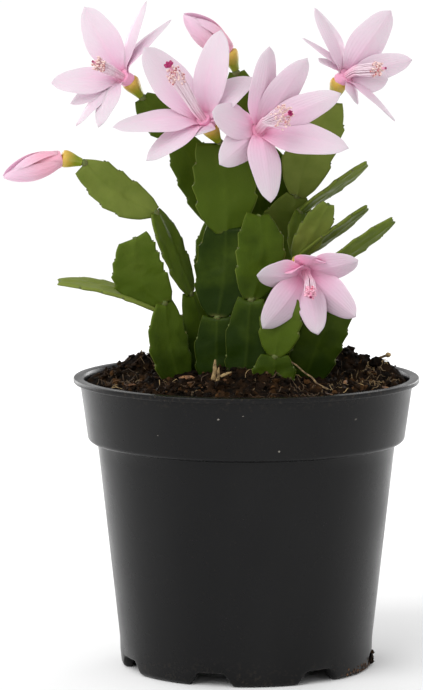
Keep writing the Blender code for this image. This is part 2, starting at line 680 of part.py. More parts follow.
STEMS = {
    "stem_left_low": {
        "root": ((-22, -2, 101), 20),
        "leaves": [
            dict(base=(-22, -2, 101), tip=(-28.5, -4.5, 127), width=14.5, turn=30, sweep=-2.0),
            dict(base=(-28.5, -4.5, 127), tip=(-38.3, -11, 151), width=18, turn=8, sweep=-4.2, teeth=4),
            dict(base=(-30.5, -4, 124.3), tip=(-64.6, -7, 134.4), width=11, turn=75, arch=2.4),
        ],
    },
    "stem_left_arch": {
        "root": ((-14, 5, 101), 30),
        "leaves": [
            dict(base=(-14, 5, 101), tip=(-19.5, 3, 129.5), width=12, turn=28, sweep=1.6),
            dict(base=(-19.5, 3, 129.5), tip=(-31.5, -1, 158), width=14.5, turn=58),
            dict(
                base=(-31.5, -1, 158),
                tip=(-55.8, -7, 175.6),
                width=14,
                turn=12,
                sweep=-2.0,
                horns=(0.36, -0.22),
            ),
        ],
    },
    "stem_tall_centre": {
        "root": ((-10.5, -4, 101), -15),
        "leaves": [
            dict(base=(-10.5, -4, 101), tip=(-10, -4, 122), width=13, turn=-12, teeth=2),
            dict(base=(-10, -4, 122), tip=(-7, -2, 153), width=17.5, turn=-10),
            dict(base=(-7, -2, 151), tip=(-9.5, -5, 182.5), width=22, turn=4, sweep=0.8, horns=(0.34, 0.3)),
        ],
    },
    "stem_back_left": {
        "root": ((-8, 14, 101), 10),
        "leaves": [
            dict(base=(-8, 14, 101), tip=(-10, 16, 122), width=14, turn=15, teeth=2),
            dict(base=(-10, 16, 122), tip=(-10.5, 14, 154.5), width=14.5, turn=-15, sweep=-0.6),
            dict(base=(-10, 14, 153), tip=(-24, 8, 184), width=16, turn=10, sweep=1.0),
            dict(base=(-24, 8, 184), tip=(-36, 2, 197.5), width=14, turn=-8, teeth=2),
        ],
    },
    "stem_centre": {
        "root": ((-1, -12, 101), -10),
        "leaves": [
            dict(base=(-1, -12, 101), tip=(1.5, -12, 129), width=13.5, turn=-12, teeth=2),
            dict(base=(1.5, -12, 129), tip=(4, -10, 158), width=16, turn=10, sweep=1.8),
        ],
    },
    "stem_back_centre": {
        "root": ((4, 22, 101), 0),
        "leaves": [
            dict(base=(4, 22, 101), tip=(5, 24, 128), width=15, turn=170, teeth=2),
            dict(base=(5, 24, 128), tip=(5, 18, 155), width=16, turn=190, teeth=2),
            dict(base=(5, 18, 155), tip=(2, 7, 181), width=16, turn=175),
            dict(base=(2, 7, 181), tip=(-3.5, 4, 206), width=14, turn=160, teeth=2),
        ],
    },
    "stem_right": {
        "root": ((9, 12, 101), 15),
        "leaves": [
            dict(base=(9, 12, 101), tip=(11, 14, 121), width=13, turn=20, teeth=2),
            dict(base=(11, 14, 121), tip=(10.5, 12, 141), width=13, turn=-20, teeth=2),
            dict(base=(10.5, 12, 141), tip=(17.5, 8, 163), width=14, turn=10, teeth=2),
            dict(base=(17.5, 8, 163), tip=(29.5, 2, 196), width=13.8, turn=8),
        ],
    },
    "stem_right_spray": {
        "root": ((14, 1, 101), 10),
        "leaves": [
            dict(base=(14, 1, 101), tip=(18, 1, 121), width=13, turn=10, teeth=2),
            dict(base=(18, 1, 121), tip=(17, -1, 142), width=12, turn=-10, teeth=2),
            dict(base=(17, -1, 142), tip=(28, -7, 161.5), width=11, turn=22),
            dict(base=(17, -1, 142), tip=(41.5, 2, 159.5), width=9.5, turn=66),
            dict(base=(17, -1, 142), tip=(18.5, 4, 158), width=9, turn=30, teeth=2),
            dict(base=(18.5, 4, 158), tip=(41.5, 7, 174.3), width=9.5, turn=66),
            dict(base=(18, 1, 121), tip=(24, -5, 137), width=11, turn=20, teeth=1),
            dict(base=(24, -5, 137), tip=(50.2, -4, 155.6), width=8.5, turn=50),
        ],
    },
    "stem_right_low": {
        "root": ((18, -8, 101), 5),
        "leaves": [
            dict(base=(18, -8, 101), tip=(32, -12, 131), width=17, turn=10, sweep=-0.6, teeth=4),
        ],
    },
    "stem_front": {
        "root": ((9, -18, 101), 0),
        "leaves": [
            dict(base=(9, -18, 101), tip=(9.5, -18, 110), width=12.5, turn=0, teeth=1),
            dict(base=(9.5, -18, 110), tip=(13.5, -17, 132), width=14.5, turn=-6),
        ],
    },
    "stem_back_a": {
        "root": ((-6, 25, 101), 160),
        "leaves": [
            dict(base=(-6, 25, 101), tip=(-7, 34, 122), width=14, turn=170, teeth=2),
            dict(base=(-7, 34, 122), tip=(-7, 45, 143), width=14, turn=190, teeth=2),
        ],
    },
    "stem_back_b": {
        "root": ((10, 30, 101), 190),
        "leaves": [
            dict(base=(10, 30, 101), tip=(12, 39, 121), width=14, turn=175, teeth=2),
            dict(base=(12, 39, 121), tip=(13, 50, 140), width=14, turn=200, teeth=2),
        ],
    },
    "stem_back_c": {
        "root": ((20, 17, 103), 20),
        "leaves": [
            dict(base=(20, 17, 104), tip=(25, 24, 128), width=13, turn=200),
        ],
    },
    "stem_back_d": {
        "root": ((-17, 17, 101), 20),
        "leaves": [
            dict(base=(-17, 17, 101), tip=(-15, 30, 121), width=13, turn=150, teeth=2),
        ],
    },
}

# Every bloom: its seat on the stem, the neck and throat of its tube, the end of its brush, the brush's
# spread, and its petals as (tip from the throat, width, roll, share of the tube where it springs).

BLOOMS = {
    "bloom_upper_left": {
        "seat": (-36, 2, 197.5),
        "neck": (-40.5, -1.5, 203.5),
        "throat": (-44.8, -6, 206.3),
        "brush": (-51.5, -12, 210),
        "spread": 2.6,
        "petals": [
            ((-11, 5, 22.5), 13, 15, 0.95),
            ((-22.5, 3, -3.5), 11, 0, 0.95),
            ((-16, 7, -11), 9, 10, 0.75),
            ((-14, 4, -18.5), 9, 20, 0.7),
            ((-6, -4, -18.5), 10, 0, 0.95),
            ((10.5, 5, 24.5), 10, -20, 0.6),
            ((19, 8, 18), 10, -18, 0.5),
        ],
    },
    "bloom_centre_left": {
        "seat": (-9.5, -5, 182.5),
        "neck": (-13, -10, 188.3),
        "throat": (-17.2, -17, 194.2),
        "brush": (-24.5, -25, 205.5),
        "spread": 3.2,
        "petals": [
            ((-18, 2, 21.3), 14, 0, 0.95),
            ((8.4, 1, 27.3), 13.5, 25, 0.95),
            ((-28.6, -1, -5.7), 12, -10, 0.95),
            ((-17.1, -1, -17.2), 12, -8, 0.8),
            ((19.4, 8, 10.8), 12.5, 20, 0.9),
            ((14.4, 7, -0.7), 11, 10, 0.7),
            ((0.7, -2, -8.2), 10, 0, 0.55),
        ],
    },
    "bloom_front": {
        "seat": (2, 7, 181),
        "neck": (2.4, -2.5, 184),
        "throat": (5.5, -19, 190),
        "brush": (13.3, -29, 193.5),
        "spread": 4.6,
        "petals": [
            ((2, 1, 26), 12.5, 0, 0.95),
            ((15, 2, 22), 12.5, 0, 0.9),
            ((26.5, 1, 10), 10.5, 0, 0.95),
            ((29, -2, -8.5), 12.5, 0, 0.95),
            ((2.5, -3, -27), 12.5, 10, 0.95),
            ((-15, -2, -14), 12, 0, 0.9),
            ((-17.5, -4, 4), 12.5, 0, 0.95),
        ],
    },
    "bloom_upper_right": {
        "seat": (29.5, 2, 196),
        "neck": (32, -1, 203.5),
        "throat": (36.5, -5, 207),
        "brush": (46, -10, 208),
        "spread": 2.6,
        "petals": [
            ((-13.3, 4, 21.5), 12.5, 0, 0.6),
            ((13, 4, 20.5), 13.5, -32, 0.95),
            ((20.5, 6, 3.5), 9.5, 0, 0.9),
            ((-17.5, 5, 11), 9, 20, 0.5),
            ((-12, 6, 4), 8, 0, 0.5),
            ((14.5, 1, -17.5), 9, -22, 0.7),
            ((1.5, -1, -11.5), 8, 0, 0.45),
            ((12, 1, -3), 10, 0, 0.95),
        ],
    },
    "bloom_lower_right": {
        "seat": (17, -1, 142),
        "neck": (18.4, -9.5, 141),
        "throat": (21.2, -22, 136.5),
        "brush": (21.4, -30, 132.5),
        "spread": 1.8,
        "petals": [
            ((-18, -1, 2), 11.5, 0, 0.95),
            ((-16, 0, -16.5), 12.5, 0, 0.95),
            ((3, -1, -18.5), 10, 0, 0.95),
            ((16, 0, -12.5), 12.5, 0, 0.95),
            ((16.5, -4, 7.5), 11, 0, 0.95),
            ((0.5, -6, 9.5), 10.5, 0, 0.85),
            ((-5, -5, 2), 5, 0, 0.6),
        ],
    },
}

BUDS = {
    "bud_left": {
        "seat": (-55.8, -7, 175.6),
        "neck": (-63.3, -8.5, 177.4),
        "tip": (-83.6, -10, 171.0),
        "girth": 4.2,
    },
    "bud_top": {
        "seat": (-3.5, 4, 206),
        "neck": (-6.2, 2.2, 213.4),
        "tip": (-21.5, -2, 226.5),
        "girth": 4.8,
    },
}


def main():
    """Build the whole object."""
    clear_scene()
    parts = collection(OBJECT)
    cutters = collection("cutters")
    finishes = {
        "pot": material("pot_plastic", (0.018, 0.018, 0.019), 0.38),
        "soil": material("peat", (0.035, 0.020, 0.011), 0.95),
        "leaf": material("leaf_green", (0.085, 0.160, 0.026), 0.45, 0.1),
        "petal": material("petal_pink", (0.86, 0.62, 0.73), 0.5, 0.2),
        "ovary": material("ovary_green", (0.55, 0.50, 0.06), 0.45),
        "stamen": material("stamen_cream", (0.90, 0.66, 0.56), 0.5),
        "pistil": material("pistil_magenta", (0.52, 0.02, 0.17), 0.45),
    }
    build_pot(parts, cutters, finishes["pot"])
    build_soil(parts, cutters, [stem["root"] for stem in STEMS.values()], finishes["soil"])
    seats = {flower["seat"] for flower in (*BLOOMS.values(), *BUDS.values())}
    for name, stem in STEMS.items():
        build_stem(name, stem["root"], stem["leaves"], seats, parts, finishes["leaf"])
    for name, bloom in BLOOMS.items():
        build_bloom(name, bloom, parts, finishes)
    for name, bud in BUDS.items():
        build_bud(name, bud, parts, finishes)


main()
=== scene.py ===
import logging
import math
import random
from collections.abc import Callable, Iterable, Sequence
from dataclasses import dataclass, field, replace
from enum import Enum
from functools import cache, cached_property

import bmesh
import bpy
from mathutils import Matrix, Vector, noise


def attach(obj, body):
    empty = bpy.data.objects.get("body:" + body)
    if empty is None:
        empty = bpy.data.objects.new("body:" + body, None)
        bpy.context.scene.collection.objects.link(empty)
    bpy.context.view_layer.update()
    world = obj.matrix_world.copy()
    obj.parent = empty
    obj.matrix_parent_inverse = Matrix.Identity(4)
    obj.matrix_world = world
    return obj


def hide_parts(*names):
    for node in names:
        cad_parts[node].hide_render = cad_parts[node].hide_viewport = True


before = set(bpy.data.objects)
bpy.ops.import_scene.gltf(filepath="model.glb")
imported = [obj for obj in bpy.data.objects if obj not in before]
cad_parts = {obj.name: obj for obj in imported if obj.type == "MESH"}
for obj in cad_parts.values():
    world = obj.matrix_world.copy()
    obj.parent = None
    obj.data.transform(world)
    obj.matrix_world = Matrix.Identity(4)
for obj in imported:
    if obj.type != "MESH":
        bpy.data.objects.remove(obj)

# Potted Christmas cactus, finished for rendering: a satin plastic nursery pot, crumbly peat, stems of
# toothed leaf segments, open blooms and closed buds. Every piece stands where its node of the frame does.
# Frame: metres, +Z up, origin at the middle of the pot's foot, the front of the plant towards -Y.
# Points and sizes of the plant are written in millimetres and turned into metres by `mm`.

Pair = tuple[float, float]
Point = tuple[float, float, float]
Colour = tuple[float, float, float]
Profile = list[Pair]
Place = Callable[[float, float], Vector]
Socket = bpy.types.NodeSocket
Corner = bmesh.types.BMVert

MM = 0.001
MERGE = 0.0000015
SHARP = math.radians(50.0)

log = logging.getLogger("christmas_cactus")


class Slot(Enum):
    """The record's material slots."""

    POT = "pot_plastic"
    PEAT = "peat"
    LEAF = "leaf_green"
    PETAL = "petal_pink"
    OVARY = "ovary_green"
    STAMEN = "stamen_cream"
    PISTIL = "pistil_magenta"


def mm(point: Iterable[float]) -> Vector:
    """Return a point given in millimetres as a vector in metres."""
    return Vector(point) * MM


def ease(low: float, high: float, value: float) -> float:
    """Return a smooth step from 0 at low to 1 at high."""
    share = min(max((value - low) / (high - low), 0.0), 1.0)
    return share * share * (3.0 - 2.0 * share)


def blend(one: float, two: float, share: float) -> float:
    """Return the value that lies a share of the way from one to two."""
    return one + (two - one) * share


def gather(share: float, strength: float = 0.6) -> float:
    """Move even steps of 0 to 1 closer together at both ends."""
    return share - strength * math.sin(math.tau * share) / math.tau


def side_of(turn: float) -> float:
    """Return how far across a rolled blade a share round it lies: -1, 0 and 1 on the way out, then back."""
    spread = 4.0 * turn - 1.0 if turn < 0.5 else 3.0 - 4.0 * turn
    return math.copysign(gather(min(abs(spread), 1.0)), spread)


def round_off(distance: float, radius: float) -> float:
    """Return the height share of a rounded border at a distance in from it, both in one unit."""
    share = 1.0 - min(max(distance / radius, 0.0), 1.0)
    return math.sqrt(max(1.0 - share * share, 0.0))


def bezier(one: Vector, two: Vector, three: Vector, share: float) -> Vector:
    """Return a point of the quadratic curve through its first and last control point."""
    rest = 1.0 - share
    return one * rest**2 + two * 2.0 * share * rest + three * share**2


def along_z(start: Vector, direction: Vector) -> Matrix:
    """Return the matrix that takes a shape modelled up +Z to a start point and a direction."""
    turn = direction.to_track_quat("Z", "Y").to_matrix().to_4x4()
    return Matrix.Translation(start) @ turn


def round_z(angle: float, radius: float = 1.0, height: float = 0.0) -> Vector:
    """Return the point at an angle and a radius round Z."""
    return Vector((radius * math.cos(angle), radius * math.sin(angle), height))


def rotated(vector: Vector, angle: float, axis: Vector) -> Vector:
    """Return a vector turned by an angle about an axis."""
    return Matrix.Rotation(angle, 3, axis) @ vector


def straight(start: Pair, end: Pair, steps: int) -> Profile:
    """Return the points of a line cut into equal steps, without its two ends."""
    shares = [step / steps for step in range(1, steps)]
    return [(blend(start[0], end[0], share), blend(start[1], end[1], share)) for share in shares]


def hump(x: float, y: float, middle: Pair, spread: float) -> float:
    """Return how high a round hump stands at a point, 1 over its middle."""
    away = math.hypot(x - middle[0], y - middle[1]) / spread
    return math.exp(-away * away)


def pattern(x: float, y: float, scale: float, layer: float) -> Vector:
    """Return where in a layer of a noise pattern a point lies."""
    return Vector((x * scale, y * scale, layer))


def smooth(path: Sequence[Vector], steps: int) -> list[Vector]:
    """Return a smooth curve through the points of a path.

    Args:
        path: The points.
        steps: The steps from each point to the next.

    Returns:
        The points of the curve.
    """
    made = []
    last = len(path) - 1
    for index in range(last):
        one, two = path[index], path[index + 1]
        lead = (two - path[max(index - 1, 0)]) / 6.0
        trail = (path[min(index + 2, last)] - one) / 6.0
        for step in range(steps):
            share = step / steps
            rest = 1.0 - share
            point = one * rest**3 + (one + lead) * 3.0 * share * rest**2
            made.append(point + (two - trail) * 3.0 * share**2 * rest + two * share**3)
    return made + [path[last]]


def to_mesh(name: str, bm: bmesh.types.BMesh) -> bpy.types.Mesh:
    """Turn what was modelled into a mesh and free it.

    Args:
        name: The mesh's name.
        bm: What was modelled.

    Returns:
        The mesh.
    """
    mesh = bpy.data.meshes.new(name)
    bm.to_mesh(mesh)
    bm.free()
    return mesh


def put(name: str, data: bpy.types.ID) -> bpy.types.Object:
    """Put an object in the scene.

    Args:
        name: Its name.
        data: Its mesh, light or camera.

    Returns:
        The object.
    """
    made = bpy.data.objects.new(name, data)
    bpy.context.scene.collection.objects.link(made)
    return made


# ---- finishes ----------------------------------------------------------------------------------------


class Graph:
    """A material's node tree, with one short method for each kind of node that the finishes use."""

    def __init__(self, name: str) -> None:
        """Start a material with its Principled shader.

        Args:
            name: The material's name.
        """
        self.material = bpy.data.materials.new(name)
        self.material.use_nodes = True
        self.tree = self.material.node_tree
        self.shader = self.tree.nodes["Principled BSDF"]

    def feed(self, target: Socket, value: object) -> None:
        """Link a socket to the target, or set the target to a value.

        Args:
            target: The input that is fed.
            value: An output socket, or a number or colour.
        """
        if isinstance(value, Socket):
            self.tree.links.new(value, target)
        elif isinstance(value, tuple) and target.type == "RGBA":
            target.default_value = (*value, 1.0)
        else:
            target.default_value = value

    def node(self, kind: str, inputs: dict[str | int, object], **settings: object) -> bpy.types.Node:
        """Add a node.

        Args:
            kind: Its type, without the prefix that all shader nodes share.
            inputs: What its inputs are fed with.
            settings: Its properties.

        Returns:
            The node.
        """
        made = self.tree.nodes.new("ShaderNode" + kind)
        for key, value in settings.items():
            setattr(made, key, value)
        for key, value in inputs.items():
            self.feed(made.inputs[key], value)
        return made

    def place(self, stretch: Point = (1.0, 1.0, 1.0)) -> Socket:
        """Return the object coordinates, stretched along X, Y and Z."""
        source = self.node("TexCoord", {}).outputs["Object"]
        return self.node("Mapping", {"Vector": source, "Scale": stretch}).outputs["Vector"]

    def height(self) -> Socket:
        """Return the height above the foot, in metres."""
        return self.node("SeparateXYZ", {"Vector": self.place()}).outputs["Z"]

    def stored(self, name: str) -> Socket:
        """Return a number stored on the piece's points."""
        return self.node("Attribute", {}, attribute_name=name).outputs["Fac"]

    def clouds(self, scale: float, detail: float = 3.0, stretch: Point = (1.0, 1.0, 1.0)) -> Socket:
        """Return noise from 0 to 1, with so many features to a metre and so many octaves of finer noise."""
        inputs = {"Vector": self.place(stretch), "Scale": scale, "Detail": detail}
        return self.node("TexNoise", inputs).outputs["Fac"]

    def cells(self, scale: float) -> Socket:
        """Return the distance to the nearest of scattered points."""
        return self.node("TexVoronoi", {"Vector": self.place(), "Scale": scale}).outputs["Distance"]

    def sums(self, kind: str, one: object, two: object = 0.0) -> Socket:
        """Return the result of a sum on two numbers or sockets."""
        return self.node("Math", {0: one, 1: two}, operation=kind).outputs["Value"]

    def drift(self, scale: float, detail: float, share: float) -> Socket:
        """Return noise from half a share below 0 to half a share above."""
        return self.sums("MULTIPLY", self.sums("SUBTRACT", self.clouds(scale, detail), 0.5), share)

    def span(self, value: Socket, low: float, high: float, to: Pair = (0.0, 1.0)) -> Socket:
        """Return a value's range from low to high, mapped smoothly to the two ends of another range."""
        inputs = {"Value": value, "From Min": low, "From Max": high, "To Min": to[0], "To Max": to[1]}
        return self.node("MapRange", inputs, interpolation_type="SMOOTHSTEP").outputs["Result"]

    def tint(self, share: Socket, one: object, two: object) -> Socket:
        """Return a mix of two colours, where the share says how much of the second one shows."""
        return self.node("Mix", {0: share, 6: one, 7: two}, data_type="RGBA").outputs[2]

    def relief(self, height: Socket, depth: float, strength: float = 1.0) -> None:
        """Raise the surface by a pattern, on top of what raises it already.

        Args:
            height: The pattern.
            depth: Its real depth, in metres.
            strength: How much of it counts.
        """
        normal = self.shader.inputs["Normal"]
        bump = self.node("Bump", {"Strength": strength, "Distance": depth, "Height": height})
        if normal.is_linked:
            self.feed(bump.inputs["Normal"], normal.links[0].from_socket)
        self.feed(normal, bump.outputs["Normal"])

    def surface(self, **values: object) -> None:
        """Set or link the shader's sockets, named with _ for a space."""
        for name, value in values.items():
            self.feed(self.shader.inputs[name.replace("_", " ")], value)


@dataclass(frozen=True)
class PotPlastic:
    """Satin injection-moulded plastic, dusted a little at the foot and towards its lip, where the lighter
    dust is also a painted highlight along the lip.
    """

    body: Colour = (0.0032, 0.0032, 0.0035)
    worn: Colour = (0.0060, 0.0060, 0.0062)
    dust: Colour = (0.10, 0.078, 0.055)
    foot: Pair = (0.012, 0.0)
    # heights in metres, from 94 mm to the top, of the lip's dust and painted highlight
    rim: Pair = (0.094, 0.101)
    grain_depth: float = 0.00003
    flow_depth: float = 0.0004

    def build(self) -> bpy.types.Material:
        """Build the material.

        Returns:
            The material.
        """
        graph = Graph("satin_plastic")
        flow = graph.clouds(22.0, 4.0, (1.0, 1.0, 0.35))
        skin = graph.tint(graph.span(flow, 0.35, 0.7), self.body, self.worn)
        height = graph.height()
        low = graph.span(height, *self.foot, (0.0, 0.16))
        # Towards the lip: dust, and with it a painted highlight along the lip.
        rim = graph.span(height, *self.rim, (0.0, 0.20))
        powder = graph.span(graph.clouds(900.0, 5.0), 0.52, 0.70)
        dust_and_lip_highlight = graph.sums("MULTIPLY", graph.sums("ADD", low, rim), powder)
        specks = graph.span(graph.cells(420.0), 0.085, 0.05, (0.0, 0.12))
        graph.surface(
            Base_Color=graph.tint(graph.sums("MAXIMUM", dust_and_lip_highlight, specks), skin, self.dust),
            Roughness=graph.span(graph.clouds(60.0, 5.0), 0.3, 0.75, (0.24, 0.35)),
            Specular_IOR_Level=0.17,
        )
        graph.relief(graph.clouds(2600.0, 2.0), self.grain_depth, 0.5)
        graph.relief(graph.clouds(30.0, 2.0, (1.0, 1.0, 0.5)), self.flow_depth, 0.12)
        return graph.material


@dataclass(frozen=True)
class PeatCrumb:
    """Moist dark peat with redder and blacker lumps."""

    dark: Colour = (0.0030, 0.0017, 0.0008)
    brown: Colour = (0.019, 0.0092, 0.0034)
    red: Colour = (0.072, 0.034, 0.012)
    depth: float = 0.0006

    def build(self) -> bpy.types.Material:
        """Build the material.

        Returns:
            The material.
        """
        graph = Graph("peat_crumb")
        lumps = graph.tint(graph.span(graph.clouds(260.0, 6.0), 0.38, 0.68), self.dark, self.brown)
        patches = graph.span(graph.clouds(42.0, 3.0), 0.42, 0.62)
        rust = graph.span(graph.clouds(150.0, 5.0, (1.0, 1.0, 1.6)), 0.54, 0.72, (0.0, 0.85))
        toned = graph.tint(graph.sums("MULTIPLY", rust, patches), lumps, self.red)
        graph.surface(
            Base_Color=graph.tint(graph.span(graph.stored("tone"), 0.35, 1.0), toned, self.red),
            Roughness=graph.span(graph.clouds(500.0, 3.0), 0.3, 0.7, (0.72, 0.98)),
            Specular_IOR_Level=0.08,
        )
        graph.relief(graph.clouds(1500.0, 6.0), self.depth, 0.9)
        return graph.material


@dataclass(frozen=True)
class Bark:
    """Dry bark and root fibre, pale or dark by the tone of each chip."""

    name: str
    dark: Colour
    pale: Colour
    depth: float = 0.0003

    def build(self) -> bpy.types.Material:
        """Build the material.

        Returns:
            The material.
        """
        graph = Graph(self.name)
        grain = graph.span(graph.clouds(700.0, 5.0, (1.0, 0.35, 1.0)), 0.3, 0.7)
        tone = graph.sums("MULTIPLY", graph.stored("tone"), graph.sums("ADD", grain, 0.35))
        shade = graph.tint(graph.span(tone, 0.0, 1.0), self.dark, self.pale)
        graph.surface(Base_Color=shade, Roughness=graph.span(grain, 0.0, 1.0, (0.65, 0.9)))
        graph.relief(grain, self.depth, 0.7)
        return graph.material


@dataclass(frozen=True)
class LeafSkin:
    """Fleshy waxy leaf skin: a lighter rib, thin yellow-green margins and mottled green between.

    It is darker low down in the plant: painted shade, where the lower leaves lie under the others.
    """

    deep: Colour = (0.012, 0.026, 0.0012)
    green: Colour = (0.062, 0.099, 0.007)
    pale: Colour = (0.165, 0.205, 0.040)
    rib: Colour = (0.085, 0.125, 0.014)
    margin: Colour = (0.20, 0.235, 0.045)
    foot: Colour = (0.115, 0.11, 0.030)
    # heights in metres over which the painted shade fades out
    painted_shade_heights: Pair = (0.100, 0.143)
    dent_depth: float = 0.0011
    pore_depth: float = 0.00006

    def build(self) -> bpy.types.Material:
        """Build the material.

        Returns:
            The material.
        """
        graph = Graph("leaf_skin")
        # Painted shade: the tone drops smoothly from 143 mm down to 100 mm, by half a step, for the shade
        # under the upper leaves.
        shade = graph.span(graph.height(), *self.painted_shade_heights, (-0.50, 0.0))
        tone = graph.sums("ADD", graph.stored("tone"), shade)
        side = graph.sums("ABSOLUTE", graph.stored("across"))
        mottled = graph.sums("ADD", tone, graph.drift(110.0, 5.0, 0.6))
        skin = graph.tint(graph.span(mottled, 0.0, 0.55), self.deep, self.green)
        skin = graph.tint(graph.span(mottled, 0.5, 1.15), skin, self.pale)
        skin = graph.tint(graph.span(side, 0.13, 0.0, (0.0, 0.13)), skin, self.rib)
        skin = graph.tint(graph.span(side, 0.955, 1.0, (0.0, 0.48)), skin, self.margin)
        foot = graph.span(graph.stored("along"), 0.07, 0.0, (0.0, 0.8))
        stalk = graph.sums("MULTIPLY", foot, graph.span(side, 1.0, 0.2))
        graph.surface(
            Base_Color=graph.tint(stalk, skin, self.foot),
            Roughness=graph.span(graph.clouds(300.0, 4.0), 0.3, 0.75, (0.34, 0.50)),
            Specular_IOR_Level=0.06,
            Subsurface_Weight=0.08,
            Subsurface_Scale=0.0012,
            Subsurface_Radius=(0.5, 0.8, 0.1),
        )
        graph.relief(graph.clouds(170.0, 3.0), self.dent_depth, 0.30)
        graph.relief(graph.cells(2400.0), self.pore_depth, 0.5)
        return graph.material


@dataclass(frozen=True)
class PetalSilk:
    """Thin petal tissue, pink at its foot and rib and nearly white towards its tip, with fine long veins."""

    name: str = "petal_silk"
    foot: Colour = (0.88, 0.41, 0.59)
    body: Colour = (0.695, 0.482, 0.598)
    tip: Colour = (0.64, 0.550, 0.606)
    vein_turns: float = 34.0
    vein_depth: float = 0.00005
    crease_depth: float = 0.0003

    def build(self) -> bpy.types.Material:
        """Build the material.

        Returns:
            The material.
        """
        graph = Graph(self.name)
        along, across = graph.stored("along"), graph.stored("across")
        pinker = graph.sums("SUBTRACT", along, graph.stored("tone"))
        reach = graph.sums("ADD", pinker, graph.drift(95.0, 3.0, 0.35))
        skin = graph.tint(graph.span(reach, -0.1, 0.40), self.foot, self.body)
        skin = graph.tint(graph.span(reach, 0.25, 0.85), skin, self.tip)
        middle = graph.span(graph.sums("ABSOLUTE", across), 0.26, 0.0, (0.0, 0.12))
        rib = graph.sums("MULTIPLY", middle, graph.span(along, 1.0, 0.35))
        veins = graph.sums("SINE", graph.sums("MULTIPLY", across, self.vein_turns))
        faint = graph.sums("MULTIPLY", graph.span(veins, 0.2, 1.0, (0.0, 0.045)), graph.span(along, 1.0, 0.1))
        graph.surface(
            Base_Color=graph.tint(graph.sums("MAXIMUM", rib, faint), skin, self.foot),
            Roughness=graph.span(graph.clouds(420.0, 3.0), 0.3, 0.7, (0.42, 0.58)),
            Specular_IOR_Level=0.25,
            Subsurface_Weight=0.28,
            Subsurface_Scale=0.003,
            Subsurface_Radius=(1.0, 0.6, 0.75),
            Sheen_Weight=0.15,
            Sheen_Roughness=0.4,
        )
        graph.relief(veins, self.vein_depth, 0.4)
        graph.relief(graph.clouds(380.0, 3.0), self.crease_depth, 0.25)
        return graph.material


@dataclass(frozen=True)
class Gradient:
    """A smooth living surface that changes from one colour at its foot to another at its end.

    The gloss is its roughness from smooth to rough spots, and the turn is where the colours change.
    """

    name: str
    foot: Colour
    end: Colour
    gloss: Pair = (0.34, 0.5)
    turn: Pair = (0.1, 0.9)
    mottle: float = 0.25
    scale: float = 400.0
    depth: float = 0.0002
    glow: float = 0.15

    def build(self) -> bpy.types.Material:
        """Build the material.

        Returns:
            The material.
        """
        graph = Graph(self.name)
        share = graph.sums("ADD", graph.stored("along"), graph.drift(self.scale, 4.0, self.mottle * 2.0))
        spots = graph.clouds(self.scale, 4.0)
        graph.surface(
            Base_Color=graph.tint(graph.span(share, *self.turn), self.foot, self.end),
            Roughness=graph.span(spots, 0.3, 0.7, self.gloss),
            Subsurface_Weight=self.glow,
            Subsurface_Scale=0.001,
        )
        graph.relief(spots, self.depth, 0.4)
        return graph.material


@dataclass(frozen=True)
class PaleFloor:
    """A plain pale floor with a trace of tone."""

    colour: Colour = (0.975, 0.975, 0.975)
    shade: Colour = (0.965, 0.965, 0.965)

    def build(self) -> bpy.types.Material:
        """Build the material.

        Returns:
            The material.
        """
        graph = Graph("pale_floor")
        graph.surface(
            Base_Color=graph.tint(graph.span(graph.clouds(3.0, 2.0), 0.3, 0.7), self.colour, self.shade),
            Roughness=graph.span(graph.clouds(8.0, 2.0), 0.3, 0.7, (0.75, 0.9)),
        )
        return graph.material


class Finish(Enum):
    """Every finish of the object."""

    POT = PotPlastic()
    PEAT = PeatCrumb()
    CHIP = Bark("bark_chip", (0.018, 0.008, 0.0035), (0.26, 0.125, 0.052))
    FIBRE = Bark("root_fibre", (0.055, 0.030, 0.012), (0.42, 0.29, 0.13))
    DUST = Bark("pale_dust", (0.05, 0.045, 0.038), (0.20, 0.185, 0.16))
    LEAF = LeafSkin()
    JOINT = Gradient("woody_joint", (0.12, 0.125, 0.030), (0.080, 0.115, 0.016), (0.55, 0.8))
    PETAL = PetalSilk()
    # The buds' finish is a lighter copy of the petal finish: painted light, brightening buds that lie in
    # shade.
    BUD_PAINTED_LIGHT = PetalSilk("bud_silk_painted_light", (0.84, 0.40, 0.51), (0.80, 0.50, 0.64), (0.75, 0.56, 0.67))
    OVARY = Gradient("ovary_wax", (0.21, 0.26, 0.008), (0.62, 0.40, 0.06), (0.32, 0.46), (0.15, 1.05), 0.2)
    FILAMENT = Gradient("filament", (0.90, 0.56, 0.69), (0.92, 0.76, 0.83), (0.4, 0.55), (0.1, 0.6), glow=0.0)
    ANTHER = Gradient(
        "anther", (0.50, 0.12, 0.14), (0.84, 0.62, 0.58), (0.6, 0.8), (0.0, 0.7), 1.6, 330.0, glow=0.0
    )
    YOUNG_ANTHER = replace(ANTHER, name="young_anther", foot=(0.62, 0.06, 0.14), end=(0.86, 0.46, 0.58))
    STYLE = Gradient("style", (0.80, 0.34, 0.50), (0.78, 0.34, 0.48), turn=(0.6, 0.98), glow=0.0)
    STIGMA = Gradient("stigma", (0.40, 0.008, 0.12), (0.33, 0.006, 0.10), glow=0.0)
    FLOOR = PaleFloor()

    @cache
    def material(self) -> bpy.types.Material:
        """Return the finish's material, built once."""
        return self.value.build()


# ---- mesh making -------------------------------------------------------------------------------------


